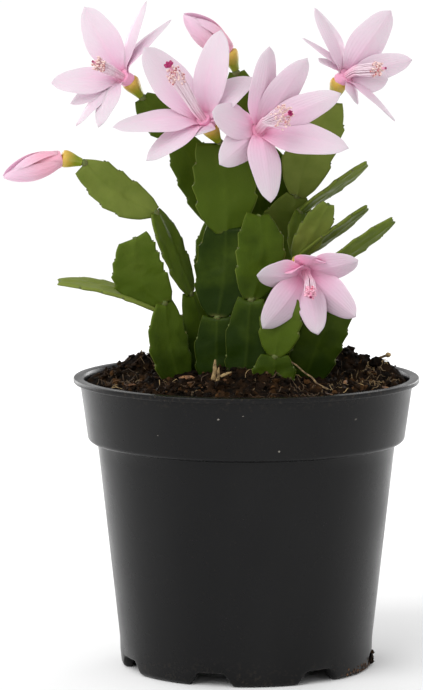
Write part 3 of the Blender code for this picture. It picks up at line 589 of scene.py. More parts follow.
class Shape:
    """One piece's mesh in the making, with numbers along, across and tone on its points."""

    DENT_SCALE = 1.7
    DENT_VARIETY = 997.0

    def __init__(self) -> None:
        """Start an empty mesh."""
        self.bm = bmesh.new()
        layers = self.bm.verts.layers.float
        self.along = layers.new("along")
        self.across = layers.new("across")
        self.tone = layers.new("tone")

    def dress(self, verts: Iterable[Corner], material: int) -> None:
        """Give the faces round points a material index."""
        for face in {face for vertex in verts for face in vertex.link_faces}:
            face.material_index = material

    def roll(self, columns: int, rows: int, place: Place, tone: float = 0.5, material: int = 0) -> None:
        """Roll a grid into a closed form: its columns go once round and its end rows close.

        Args:
            columns: The grid's steps round the form.
            rows: The grid's steps along the form.
            place: Gives the point at a share round and a share along.
            tone: The tone stored on the points.
            material: The material index of its faces.
        """
        made = bmesh.ops.create_grid(self.bm, x_segments=columns, y_segments=rows, size=0.5)["verts"]
        for vertex in made:
            turn = vertex.co.x + 0.5
            share = vertex.co.y + 0.5
            vertex.co = place(turn, share)
            vertex[self.along] = share
            vertex[self.across] = side_of(turn)
            vertex[self.tone] = tone
        self.dress(made, material)
        bmesh.ops.remove_doubles(self.bm, verts=made, dist=MERGE)

    def tube(
        self, path: Sequence[Vector], radii: Sequence[float], sides: int, tone: float = 0.5, material: int = 0
    ) -> None:
        """Sweep a closed round rod along a path.

        Args:
            path: The middle points, in metres.
            radii: The radius at each point, in millimetres.
            sides: The corners round the rod.
            tone: The tone stored on the points.
            material: The material index of its faces.
        """
        last = len(path) - 1
        frames = []
        side = (path[1] - path[0]).orthogonal().normalized()
        for index, point in enumerate(path):
            ahead = path[min(index + 1, last)] - path[max(index - 1, 0)]
            side = (side - ahead.normalized() * side.dot(ahead.normalized())).normalized()
            frames.append((point, side, ahead.cross(side).normalized()))

        def place(turn: float, share: float) -> Vector:
            """Place a point of the rod, whose first and last rows are its closed ends.

            Args:
                turn: The share of the way round.
                share: The share of the way along.

            Returns:
                The point.
            """
            step = round(share * (last + 2)) - 1
            index = min(max(step, 0), last)
            middle, one, two = frames[index]
            radius = radii[index] * MM if 0 <= step <= last else 0.0
            angle = turn * math.tau
            return middle + one * radius * math.cos(angle) + two * radius * math.sin(angle)

        self.roll(sides, last + 2, place, tone, material)

    def bead(
        self,
        centre: Vector,
        radii: Point,
        direction: Vector,
        detail: int = 1,
        rough: float = 0.0,
        tone: float = 0.5,
        material: int = 0,
    ) -> None:
        """Add a small rounded lump.

        Args:
            centre: Its middle, in metres.
            radii: Its three radii in millimetres, the last one along the direction.
            direction: Where it points.
            detail: The ball's subdivisions.
            rough: The share of its radius by which noise dents it.
            tone: The tone stored on the points.
            material: The material index of its faces.
        """
        turn = along_z(centre, direction) @ Matrix.Diagonal((*mm(radii), 1.0))
        made = bmesh.ops.create_icosphere(self.bm, subdivisions=detail, radius=1.0)["verts"]
        for vertex in made:
            dent = 1.0 + rough * noise.noise(vertex.co * self.DENT_SCALE + centre * self.DENT_VARIETY)
            vertex[self.along] = vertex.co.z * 0.5 + 0.5
            vertex[self.tone] = tone
            vertex.co = turn @ (vertex.co * dent)
        self.dress(made, material)

    def lathe(self, profile: Profile, sides: int, turn: Matrix, tone: float = 0.5) -> list[Corner]:
        """Spin a profile of (radius, height) points in millimetres round Z and set it in place.

        Args:
            profile: The points, from one pole to the other.
            sides: The steps of the spin.
            turn: The matrix that sets the shape in place.
            tone: The tone stored on the points.

        Returns:
            The new points.
        """
        before = set(self.bm.verts)
        heights = [height for _, height in profile]
        low, high = min(heights), max(heights)
        points = [self.bm.verts.new((radius * MM, 0.0, height * MM)) for radius, height in profile]
        edges = [self.bm.edges.new(pair) for pair in zip(points, points[1:])]
        for point, (_, height) in zip(points, profile):
            point[self.along] = (height - low) / (high - low)
            point[self.tone] = tone
        bmesh.ops.spin(
            self.bm,
            geom=points + edges,
            cent=(0.0, 0.0, 0.0),
            axis=(0.0, 0.0, 1.0),
            dvec=(0.0, 0.0, 0.0),
            angle=math.tau,
            steps=sides,
            use_merge=True,
            use_duplicate=False,
        )
        made = [vertex for vertex in self.bm.verts if vertex not in before]
        bmesh.ops.remove_doubles(self.bm, verts=made, dist=MERGE)
        made = [vertex for vertex in self.bm.verts if vertex not in before]
        bmesh.ops.transform(self.bm, matrix=turn, verts=made)
        return made

    def finish(
        self,
        name: str,
        finishes: Sequence[Finish],
        slot: Slot,
        nodes: Sequence[str] = (),
        sharp: float = SHARP,
    ) -> bpy.types.Object:
        """Close the piece, set it in the frame and report it.

        Args:
            name: The piece's name.
            finishes: Its finishes, in the order of the material indices.
            slot: The record's slot; not used.
            nodes: The frame's nodes that it stands for.
            sharp: The angle past which an edge stays sharp.

        Returns:
            The finished piece.
        """
        bmesh.ops.recalc_face_normals(self.bm, faces=self.bm.faces)
        mesh = to_mesh(name, self.bm)
        for finish in finishes:
            mesh.materials.append(finish.material())
        mesh.shade_smooth()
        mesh.set_sharp_from_angle(angle=sharp)
        piece = put(name, mesh)
        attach(piece, "root")
        if nodes:
            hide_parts(*nodes)
        log.info("%s: %d faces", name, len(mesh.polygons))
        return piece


# ---- pot ---------------------------------------------------------------------------------------------


@dataclass
class NurseryPot:
    """Thin-walled nursery pot: out-turned lip, upper band, rounded ledge, tapering wall and notched foot.

    Sizes are in millimetres.
    """

    rim_radius: float = 60.0
    height: float = 101.0
    wall: float = 1.3
    lip_thickness: float = 1.8
    lip_overhang: float = 2.3
    lip_round: float = 0.55
    band_height: float = 20.5
    band_taper: float = 2.6
    ledge_step: float = 3.4
    ledge_height: float = 2.0
    foot_radius: float = 43.6
    foot_round: float = 1.8
    plate_underside: float = 5.2
    plate_thickness: float = 1.3
    plate_rings: tuple[float, ...] = (14.0, 24.0, 34.0)
    pad_radius: float = 8.0
    notches: int = 7
    first_notch: float = math.radians(-107.0)
    notch_top: float = 8.6
    notch_foot: float = 17.0
    notch_height: float = 4.5
    drain_radius: float = 3.2
    drain_circle: float = 29.0
    drill_length: float = 6.0
    sides: int = 336
    corner_steps: int = 5
    sharp: float = math.radians(38.0)

    def corner(self, middle: Pair, radii: Pair, start: float, end: float) -> Profile:
        """Return an arc of the profile.

        Args:
            middle: The arc's middle as (radius, height).
            radii: Its radii outwards and upwards.
            start: Its first angle in degrees, 0 outwards and 90 up.
            end: Its last angle in degrees.

        Returns:
            The arc's points.
        """
        shares = [step / self.corner_steps for step in range(self.corner_steps + 1)]
        turns = [math.radians(blend(start, end, share)) for share in shares]
        (x, y), (wide, high) = middle, radii
        return [(x + wide * math.cos(turn), y + high * math.sin(turn)) for turn in turns]

    @property
    def band_top(self) -> float:
        """Return the band's radius under the lip."""
        return self.rim_radius - self.lip_overhang

    @property
    def band_foot(self) -> float:
        """Return the band's radius at the ledge."""
        return self.band_top - self.band_taper

    @property
    def ledge_top(self) -> float:
        """Return the height at which the band ends."""
        return self.height - self.band_height

    @property
    def floor(self) -> float:
        """Return the height of the plate's top."""
        return self.plate_underside + self.plate_thickness

    @property
    def wall_top(self) -> Pair:
        """Return the radius and height at which the tapering wall starts under the ledge."""
        return (self.band_foot - self.ledge_step, self.ledge_top - self.ledge_height)

    @property
    def slope(self) -> float:
        """Return how much the wall widens for each millimetre up."""
        return (self.wall_top[0] - self.foot_radius) / (self.wall_top[1] - self.foot_round)

    def inner_wall(self) -> Profile:
        """Draw the inner wall.

        Returns:
            Its points, from the floor to the lip.
        """
        wall_radius, wall_height = self.wall_top
        return [
            (self.foot_radius + self.slope * (self.floor - self.foot_round) - self.wall, self.floor),
            (wall_radius - self.wall, wall_height + self.wall * 0.3),
            (self.band_foot - self.wall, self.ledge_top + self.wall * 0.6),
            (self.band_top - self.wall, self.height - self.lip_thickness),
            (self.band_top - self.wall + 0.3, self.height - 0.25),
            (self.band_top - self.wall + 0.6, self.height),
        ]

    def profile(self) -> Profile:
        """Draw the whole section.

        Returns:
            Its points, from the middle of the plate's top to the middle of its foot pad.
        """
        turn, rim = self.lip_round, self.rim_radius - self.lip_round
        under_lip = self.height - self.lip_thickness
        wall_radius, wall_height = self.wall_top
        foot, bend = self.foot_radius, self.foot_round
        inside = foot - bend - self.wall
        under, pad = self.plate_underside, self.pad_radius
        return [
            *((radius, self.floor) for radius in (0.0, *self.plate_rings)),
            *self.inner_wall(),
            *self.corner((rim, self.height - turn), (turn, turn), 90.0, 0.0),
            *self.corner((rim, under_lip + turn), (turn, turn), 0.0, -90.0),
            (self.band_top + 0.5, under_lip),
            (self.band_top + 0.12, under_lip - 0.14),
            (self.band_top, under_lip - 0.6),
            *straight((self.band_top, under_lip), (self.band_foot, self.ledge_top), 8),
            *self.corner(
                (wall_radius + 0.5, self.ledge_top), (self.ledge_step - 0.5, self.ledge_height), 0.0, -82.0
            ),
            (wall_radius + 0.25, wall_height - 0.1),
            (wall_radius + 0.03, wall_height - 0.5),
            *straight(self.wall_top, (foot, under), 16),
            (foot + self.slope * 3.4, under),
            (foot + self.slope, bend + 0.8),
            *self.corner((foot - bend, bend), (bend, bend), 0.0, -90.0),
            (inside, 0.0),
            (inside - 0.1, 1.2),
            (inside - 0.25, 3.0),
            (inside - 0.5, under),
            *((radius, under) for radius in (*self.plate_rings[:0:-1], pad + 0.5)),
            (pad, 0.3),
            (pad - 0.3, 0.0),
            (0.0, 0.0),
        ]

    def notch(self, angle: float) -> float:
        """Return how far the foot is raised at an angle round the pot.

        Args:
            angle: The angle, in radians.

        Returns:
            The rise, in millimetres.
        """
        pitch = math.tau / self.notches
        away = abs((angle - self.first_notch + pitch / 2) % pitch - pitch / 2) * self.foot_radius
        half_foot, half_top = self.notch_foot / 2, self.notch_top / 2
        return self.notch_height * ease(0.0, 1.0, (half_foot - away) / (half_foot - half_top))

    def drain_cutter(self) -> bpy.types.Object:
        """Return the rods that cut the drain holes out of the plate.

        Returns:
            All the rods as one object.
        """
        bm = bmesh.new()
        radius, depth = self.drain_radius * MM, self.drill_length * MM
        for index in range(self.notches):
            angle = self.first_notch + (index + 0.5) * math.tau / self.notches
            place = mm(round_z(angle, self.drain_circle, self.plate_underside + self.plate_thickness / 2))
            bmesh.ops.create_cone(
                bm,
                cap_ends=True,
                segments=32,
                radius1=radius,
                radius2=radius,
                depth=depth,
                matrix=Matrix.Translation(place),
            )
        return bpy.data.objects.new("drain_cutter", to_mesh("drain_cutter", bm))

    def drill(self, pot: bpy.types.Object) -> None:
        """Cut the drain holes and keep the result as the pot's mesh.

        Args:
            pot: The pot, which is changed.
        """
        cutters = bpy.data.collections.new("cutters")
        tool = self.drain_cutter()
        cutters.objects.link(tool)
        change = pot.modifiers.new("drains", "BOOLEAN")
        change.operation = "DIFFERENCE"
        change.solver = "EXACT"
        change.operand_type = "COLLECTION"
        change.collection = cutters
        bpy.context.view_layer.update()
        mesh = bpy.data.meshes.new_from_object(pot.evaluated_get(bpy.context.evaluated_depsgraph_get()))
        pot.modifiers.clear()
        pot.data = mesh
        bpy.data.objects.remove(tool, do_unlink=True)
        bpy.data.collections.remove(cutters)
        mesh.shade_smooth()
        mesh.set_sharp_from_angle(angle=SHARP)

    def build(self) -> None:
        """Spin the pot, raise its foot over the notches and drill its plate."""
        shape = Shape()
        for vertex in shape.lathe(self.profile(), self.sides, Matrix.Rotation(self.first_notch, 4, "Z")):
            height = vertex.co.z / MM
            if height < self.plate_underside and vertex.co.xy.length / MM > self.pad_radius + 5.0:
                lift = self.notch(math.atan2(vertex.co.y, vertex.co.x))
                vertex.co.z = (lift + height * (self.plate_underside - lift) / self.plate_underside) * MM
        pot = shape.finish("nursery_pot", [Finish.POT], Slot.POT, ["pot"], self.sharp)
        self.drill(pot)


# ---- peat --------------------------------------------------------------------------------------------


@dataclass(frozen=True)
class Rise:
    """One round rise of the peat, or one paler patch of it: its middle, its spread and how much it adds."""

    middle: Pair
    spread: float
    amount: float


@dataclass(frozen=True)
class Chip:
    """One larger chip of bark that lies at a chosen place."""

    place: Pair
    length: float
    tone: float


@dataclass(frozen=True)
class Tuft:
    """A patch of short fibres: its middle, its spread, how many there are and how pale they are."""

    middle: Pair
    spread: float
    count: int
    tone: float


@dataclass
class Peat:
    """The peat filling: a crumbly mounded top, loose crumbs, bark chips, fibres, a long root and a twig.

    Sizes are in millimetres.
    """

    pot: NurseryPot
    feet: tuple[Point, ...]
    level: float = 98.8
    clearance: float = 0.5
    edge_drop: float = 1.2
    floor_gap: float = 0.35
    limit: float = 107.5
    # each noise pattern's scale and layer
    coarse: Pair = (0.16, 0.3)
    fine: Pair = (0.37, 4.1)
    lumps: Pair = (0.42, 1.7)
    grains: Pair = (1.05, 9.2)
    grit: Pair = (1.9, 2.4)
    crumb: float = 2.2
    lump_depth: float = 2.3
    grain_depth: float = 1.0
    grit_depth: float = 0.4
    flat_by_the_wall: int = 14
    mounds: tuple[Rise, ...] = (
        Rise((-36.0, 25.0), 11.0, 6.6),
        Rise((35.0, 26.0), 13.0, 8.4),
        Rise((50.0, 9.0), 9.0, 6.0),
        Rise((-48.0, 10.0), 9.0, 3.6),
        Rise((0.0, -7.0), 26.0, 4.9),
    )
    dry_patches: tuple[Rise, ...] = (
        Rise((44.0, -4.0), 11.0, 1.1),
        Rise((-44.0, -5.0), 9.0, 0.9),
        Rise((10.0, -36.0), 14.0, 0.6),
    )
    rings: int = 84
    sides: int = 260
    heap: float = 1.5
    heap_spread: float = 6.0
    tumble: float = 1.4
    crumbs: int = 1500
    crumb_spread: float = 0.55
    least_crumb: float = 0.35
    crumb_margin: float = 1.0
    clods: int = 150
    clod_radii: Point = (0.9, 2.7, 1.3)
    clod_margin: float = 1.5
    chips: int = 90
    chip_lengths: Pair = (1.0, 3.0)
    chip_tilt: float = 0.7
    chip_margin: float = 3.0
    chip_roughness: float = 0.7
    chip_boxiness: float = 0.55
    large_chips: tuple[Chip, ...] = (
        Chip((-20.5, -18.0), 4.6, 0.8),
        Chip((-14.4, -30.0), 3.0, 0.64),
        Chip((-7.6, -17.0), 4.2, 0.8),
        Chip((13.2, -50.0), 4.5, 0.76),
        Chip((33.9, -12.0), 4.0, 0.72),
        Chip((47.6, -14.0), 4.5, 0.64),
        Chip((-40.0, -20.0), 3.6, 0.56),
        Chip((27.0, -38.0), 4.0, 0.48),
    )
    fibres: int = 150
    fibre_lengths: Pair = (3.0, 9.0)
    fibre_radii: Pair = (0.07, 0.2)
    fibre_margin: float = 2.0
    fibre_taper: tuple[float, ...] = (0.5, 1.0, 1.0, 0.9, 0.7, 0.35)
    short_lengths: Pair = (1.8, 3.8)
    short_radii: Pair = (0.12, 0.24)
    tuft_margin: float = 4.0
    tufts: tuple[Tuft, ...] = (
        Tuft((47.0, 8.0), 2.3, 14, 0.7),
        Tuft((43.0, -5.0), 6.0, 75, 0.42),
        Tuft((-44.0, -5.0), 5.0, 40, 0.12),
        Tuft((14.0, -33.0), 9.0, 40, 0.16),
    )
    root: tuple[Point, ...] = (
        (14.3, -18.0, 108.6),
        (17.0, -20.0, 107.2),
        (19.4, -22.0, 105.2),
        (22.2, -25.0, 103.6),
        (23.9, -27.0, 101.8),
        (27.7, -30.0, 100.2),
    )
    root_radii: Pair = (0.26, 0.36)
    splinters: tuple[tuple[Point, Point, float], ...] = (
        # foot, head, radius
        ((-11.6, -18.0, 100.0), (-10.8, -18.6, 109.0), 1.0),
        ((-10.2, -18.5, 100.5), (-9.6, -20.0, 106.5), 0.7),
        ((-9.0, -20.0, 103.4), (-5.2, -20.5, 105.0), 0.6),
    )
    splinter_taper: tuple[float, ...] = (0.8, 1.0, 0.9, 0.65, 0.3)
    twig: tuple[Point, ...] = ((43.0, 17.0, 103.0), (46.5, 13.0, 105.6), (49.6, 9.5, 107.2))
    twig_radius: float = 0.45
    twig_bead: Point = (0.95, 0.95, 1.1)
    dust: tuple[Point, ...] = (
        # across, height, radius
        (-9.8, 93.6, 0.55),
        (-1.6, 94.8, 0.5),
        (10.5, 82.6, 0.45),
        (36.3, 92.0, 0.6),
        (-30.0, 87.0, 0.25),
    )
    foot_crumbs: int = 70
    foot_crumb_radii: Pair = (0.25, 0.62)
    foot_arc: Point = (-44.0, -2.0, -26.0)
    clump_crumbs: int = 80
    clump_crumb_radii: Pair = (0.45, 0.9)
    clump_arc: Pair = (-5.5, 3.8)
    clump_reach: Pair = (41.4, 44.3)
    clump_heights: Pair = (0.8, 4.2)
    draw: random.Random = field(default_factory=lambda: random.Random("peat"))

    @cached_property
    def brink(self) -> float:
        """Return the radius of the peat's edge under the lip."""
        return self.pot.inner_wall()[3][0] - self.clearance

    def surface(self, x: float, y: float) -> float:
        """Return the height of the peat without its crumbs.

        Args:
            x: The place across.
            y: The place from front to back.

        Returns:
            The height.
        """
        edge = max(0.0, 1.0 - (math.hypot(x, y) / (self.brink + self.clearance)) ** self.flat_by_the_wall)
        rise = sum(mound.amount * hump(x, y, mound.middle, mound.spread) for mound in self.mounds)
        rise += self.heap * max(hump(x, y, foot[:2], self.heap_spread) for foot in self.feet)
        coarse = noise.noise(pattern(x, y, *self.coarse))
        fine = noise.noise(pattern(x, y, *self.fine))
        rise += self.crumb * (coarse + 0.6 * fine)
        return min(self.level + rise * edge, self.limit)

    def crumbly(self, x: float, y: float) -> float:
        """Return the height of the peat with its crumbs.

        Args:
            x: The place across.
            y: The place from front to back.

        Returns:
            The height.
        """
        edge = 1.0 - ease(self.brink - 3.0, self.brink, math.hypot(x, y))
        lumps = noise.voronoi(pattern(x, y, *self.lumps))[0][0]
        grains = noise.voronoi(pattern(x, y, *self.grains))[0][0]
        rise = (0.45 - lumps) * self.lump_depth + (0.4 - grains) * self.grain_depth
        rise += noise.noise(pattern(x, y, *self.grit)) * self.grit_depth
        return min(self.surface(x, y) + rise * (0.25 + 0.75 * edge), self.limit)

    def body(self) -> None:
        """Spin the filling, raise its top and dress it in loose crumbs and clods."""
        floor, ledge, band = self.pot.inner_wall()[:3]
        top = [(self.brink * ring / self.rings, self.level) for ring in range(self.rings)]
        low = floor[1] + self.floor_gap
        side = [(self.brink, self.level - self.edge_drop), (band[0] - self.clearance, band[1])]
        side += [(ledge[0] - self.clearance, ledge[1]), (floor[0] - self.clearance, low), (0.0, low)]
        shape = Shape()
        for vertex in shape.lathe(top + side, self.sides, Matrix.Identity(4), 0.0):
            if vertex.co.z > (self.level - self.edge_drop / 2) * MM:
                vertex.co.z = self.crumbly(vertex.co.x / MM, vertex.co.y / MM) * MM
        draw = self.draw
        for _ in range(self.crumbs):
            radius = abs(draw.gauss(0.0, self.crumb_spread)) + self.least_crumb
            place = self.spot(radius * 0.15, self.brink - self.crumb_margin - radius)
            size = (radius, radius * draw.uniform(0.6, 1.0), radius * draw.uniform(0.5, 0.9))
            tone = min(1.0, draw.random() ** 2.2 + self.dryness(place))
            shape.bead(place, size, self.heading(self.tumble), 1, 0.8, tone)
        for _ in range(self.clods):
            radius = draw.triangular(*self.clod_radii)
            place = self.spot(-radius * 0.1, self.brink - self.clod_margin - radius)
            size = (radius, radius * draw.uniform(0.6, 1.0), radius * 0.7)
            shape.bead(place, size, self.heading(self.tumble), 2, 1.1, draw.random() ** 3)
        shape.finish("peat_filling", [Finish.PEAT], Slot.PEAT, ["soil"])

    def dryness(self, place: Vector) -> float:
        """Return how much paler the crumbs are.

        Args:
            place: The place, in metres.

        Returns:
            What is added to their tone.
        """
        x, y = place.xy / MM
        paler = sum(patch.amount * hump(x, y, patch.middle, patch.spread) for patch in self.dry_patches)
        return paler * self.draw.random()

    def spot(self, lift: float, reach: float) -> Vector:
        """Return a drawn point on the peat's top.

        Args:
            lift: How far above the top it lies.
            reach: How far from the middle it may lie.

        Returns:
            The point, in metres.
        """
        away = reach * math.sqrt(self.draw.random())
        x, y = round_z(self.draw.uniform(0.0, math.tau), away).xy
        return mm((x, y, min(self.crumbly(x, y) + lift, self.limit + 0.6)))

    def heading(self, lean: float) -> Vector:
        """Return a drawn direction that leans no further from upright than an angle in radians."""
        angle, tilt = self.draw.uniform(0.0, math.tau), self.draw.uniform(0.0, lean)
        return round_z(angle, math.sin(tilt), math.cos(tilt))

    def chip(self, shape: Shape, centre: Vector, size: Point, tone: float) -> None:
        """Add one flat broken chip of bark.

        Args:
            shape: The piece it belongs to.
            centre: Its middle, in metres.
            size: Its length, width and thickness.
            tone: How pale it is.
        """
        turn = along_z(centre, self.heading(self.chip_tilt))
        turn @= Matrix.Rotation(self.draw.uniform(0.0, math.tau), 4, "Z")
        power = self.chip_boxiness
        for vertex in bmesh.ops.create_icosphere(shape.bm, subdivisions=2, radius=0.5)["verts"]:
            boxy = Vector(math.copysign(abs(value * 2.0) ** power, value) / 2.0 for value in vertex.co)
            boxy *= 1.0 + self.chip_roughness * noise.noise(vertex.co * 3.1 + centre * 771.0)
            vertex.co = turn @ (boxy * mm(size))
            vertex[shape.along] = 0.5
            vertex[shape.tone] = tone

    def litter(self) -> None:
        """Scatter the bark chips and lay the larger ones."""
        shape = Shape()
        for _ in range(self.chips):
            length = self.draw.uniform(*self.chip_lengths)
            size = (length, length * self.draw.uniform(0.2, 0.6), self.draw.uniform(0.4, 0.9))
            self.chip(shape, self.spot(0.1, self.brink - self.chip_margin), size, self.draw.random() ** 4.5)
        for chip in self.large_chips:
            place = mm((*chip.place, self.crumbly(*chip.place) + 0.5))
            self.chip(shape, place, (chip.length, chip.length * 0.32, 0.8), chip.tone)
        shape.finish("bark_chips", [Finish.CHIP], Slot.PEAT, sharp=math.radians(30.0))

    def fibre(self, shape: Shape, start: Vector, length: float, radius: float, tone: float) -> None:
        """Add one thin crooked fibre lying on the peat.

        Args:
            shape: The piece it belongs to.
            start: Its first point, in metres.
            length: Its length.
            radius: Its greatest radius.
            tone: How pale it is.
        """
        heading = self.draw.uniform(0.0, math.tau)
        path = [start]
        for _ in range(5):
            heading += self.draw.uniform(-0.7, 0.7)
            ahead = path[-1] + mm(round_z(heading)) * length / 5
            ground = self.crumbly(*(ahead.xy / MM))
            ahead.z = min(ground + self.draw.uniform(0.1, 1.0), self.limit) * MM
            path.append(ahead)
        shape.tube(path, [radius * share for share in self.fibre_taper], 4, tone)

    def tuft(self, shape: Shape, tuft: Tuft) -> None:
        """Scatter one patch of short fibres, but none close to the wall.

        Args:
            shape: The piece it belongs to.
            tuft: The patch.
        """
        draw = self.draw
        for _ in range(tuft.count):
            x, y = (draw.gauss(middle, tuft.spread) for middle in tuft.middle)
            if math.hypot(x, y) < self.brink - self.tuft_margin:
                start = mm((x, y, self.crumbly(x, y) + 0.6))
                tone = tuft.tone * draw.uniform(0.5, 1.25)
                length, radius = draw.uniform(*self.short_lengths), draw.uniform(*self.short_radii)
                self.fibre(shape, start, length, radius, tone)

    def roots(self) -> None:
        """Lay the fine fibres, the long curved root, the upright splinters, and the twig with its bead."""
        shape = Shape()
        for _ in range(self.fibres):
            length = self.draw.uniform(*self.fibre_lengths)
            start = self.spot(0.2, self.brink - self.fibre_margin - length * 0.6)
            self.fibre(shape, start, length, self.draw.uniform(*self.fibre_radii), self.draw.random() ** 2.4)
        for tuft in self.tufts:
            self.tuft(shape, tuft)
        path = smooth([mm(point) for point in self.root], 4)
        shape.tube(path, [blend(*self.root_radii, step / len(path)) for step in range(len(path))], 6, 0.45)
        for foot, head, girth in self.splinters:
            path = [mm(foot).lerp(mm(head), step / 4) for step in range(5)]
            path[2] += mm((0.35, 0.0, 0.2))
            shape.tube(path, [girth * share for share in self.splinter_taper], 7, 0.75)
        twig = [mm(point) for point in self.twig]
        path = smooth(twig, 4)
        shape.tube(path, [self.twig_radius] * len(path), 6, 0.55)
        shape.bead(twig[-1], self.twig_bead, twig[-1] - twig[-2], 2, 0.25, 1.0)
        shape.finish("root_fibres", [Finish.FIBRE], Slot.PEAT)

    def strays(self) -> None:
        """Stick dust on the pot's band, reddish crumbs along its foot and a clump of peat in a notch."""
        shape = Shape()
        pot, draw = self.pot, self.draw
        for x, z, radius in self.dust:
            face = pot.band_top - pot.band_taper * (pot.height - z) / pot.band_height
            out = Vector((x, -math.sqrt(face**2 - x**2), 0.0)).normalized()
            shape.bead(mm((*(out.xy * face), z)), (radius, radius * 0.8, radius * 0.5), out, 1, 0.7, 0.8)
        for _ in range(self.foot_crumbs):
            angle = math.radians(draw.triangular(*self.foot_arc))
            height = abs(draw.gauss(0.0, 1.3)) + 0.3
            face = pot.foot_radius - pot.foot_round * (1.0 - round_off(height, pot.foot_round)) + 0.1
            radius = draw.uniform(*self.foot_crumb_radii)
            size = (radius, radius * 0.8, radius * 0.6)
            centre = mm(round_z(angle, face, height))
            shape.bead(centre, size, round_z(angle), 1, 0.9, draw.uniform(0.1, 0.55), 1)
        for _ in range(self.clump_crumbs):
            angle = math.radians(draw.gauss(*self.clump_arc))
            centre = mm(round_z(angle, draw.uniform(*self.clump_reach), draw.uniform(*self.clump_heights)))
            radius = draw.uniform(*self.clump_crumb_radii)
            size = (radius, radius, radius * 0.8)
            shape.bead(centre, size, round_z(angle), 1, 0.9, draw.uniform(0.0, 0.4), 2)
        shape.finish("stray_crumbs", [Finish.DUST, Finish.CHIP, Finish.PEAT], Slot.PEAT)

    def build(self) -> None:
        """Build the filling and all that lies on it, in the order of the random draws."""
        for part in (self.body, self.litter, self.roots, self.strays):
            part()


# ---- leafy stems -------------------------------------------------------------------------------------


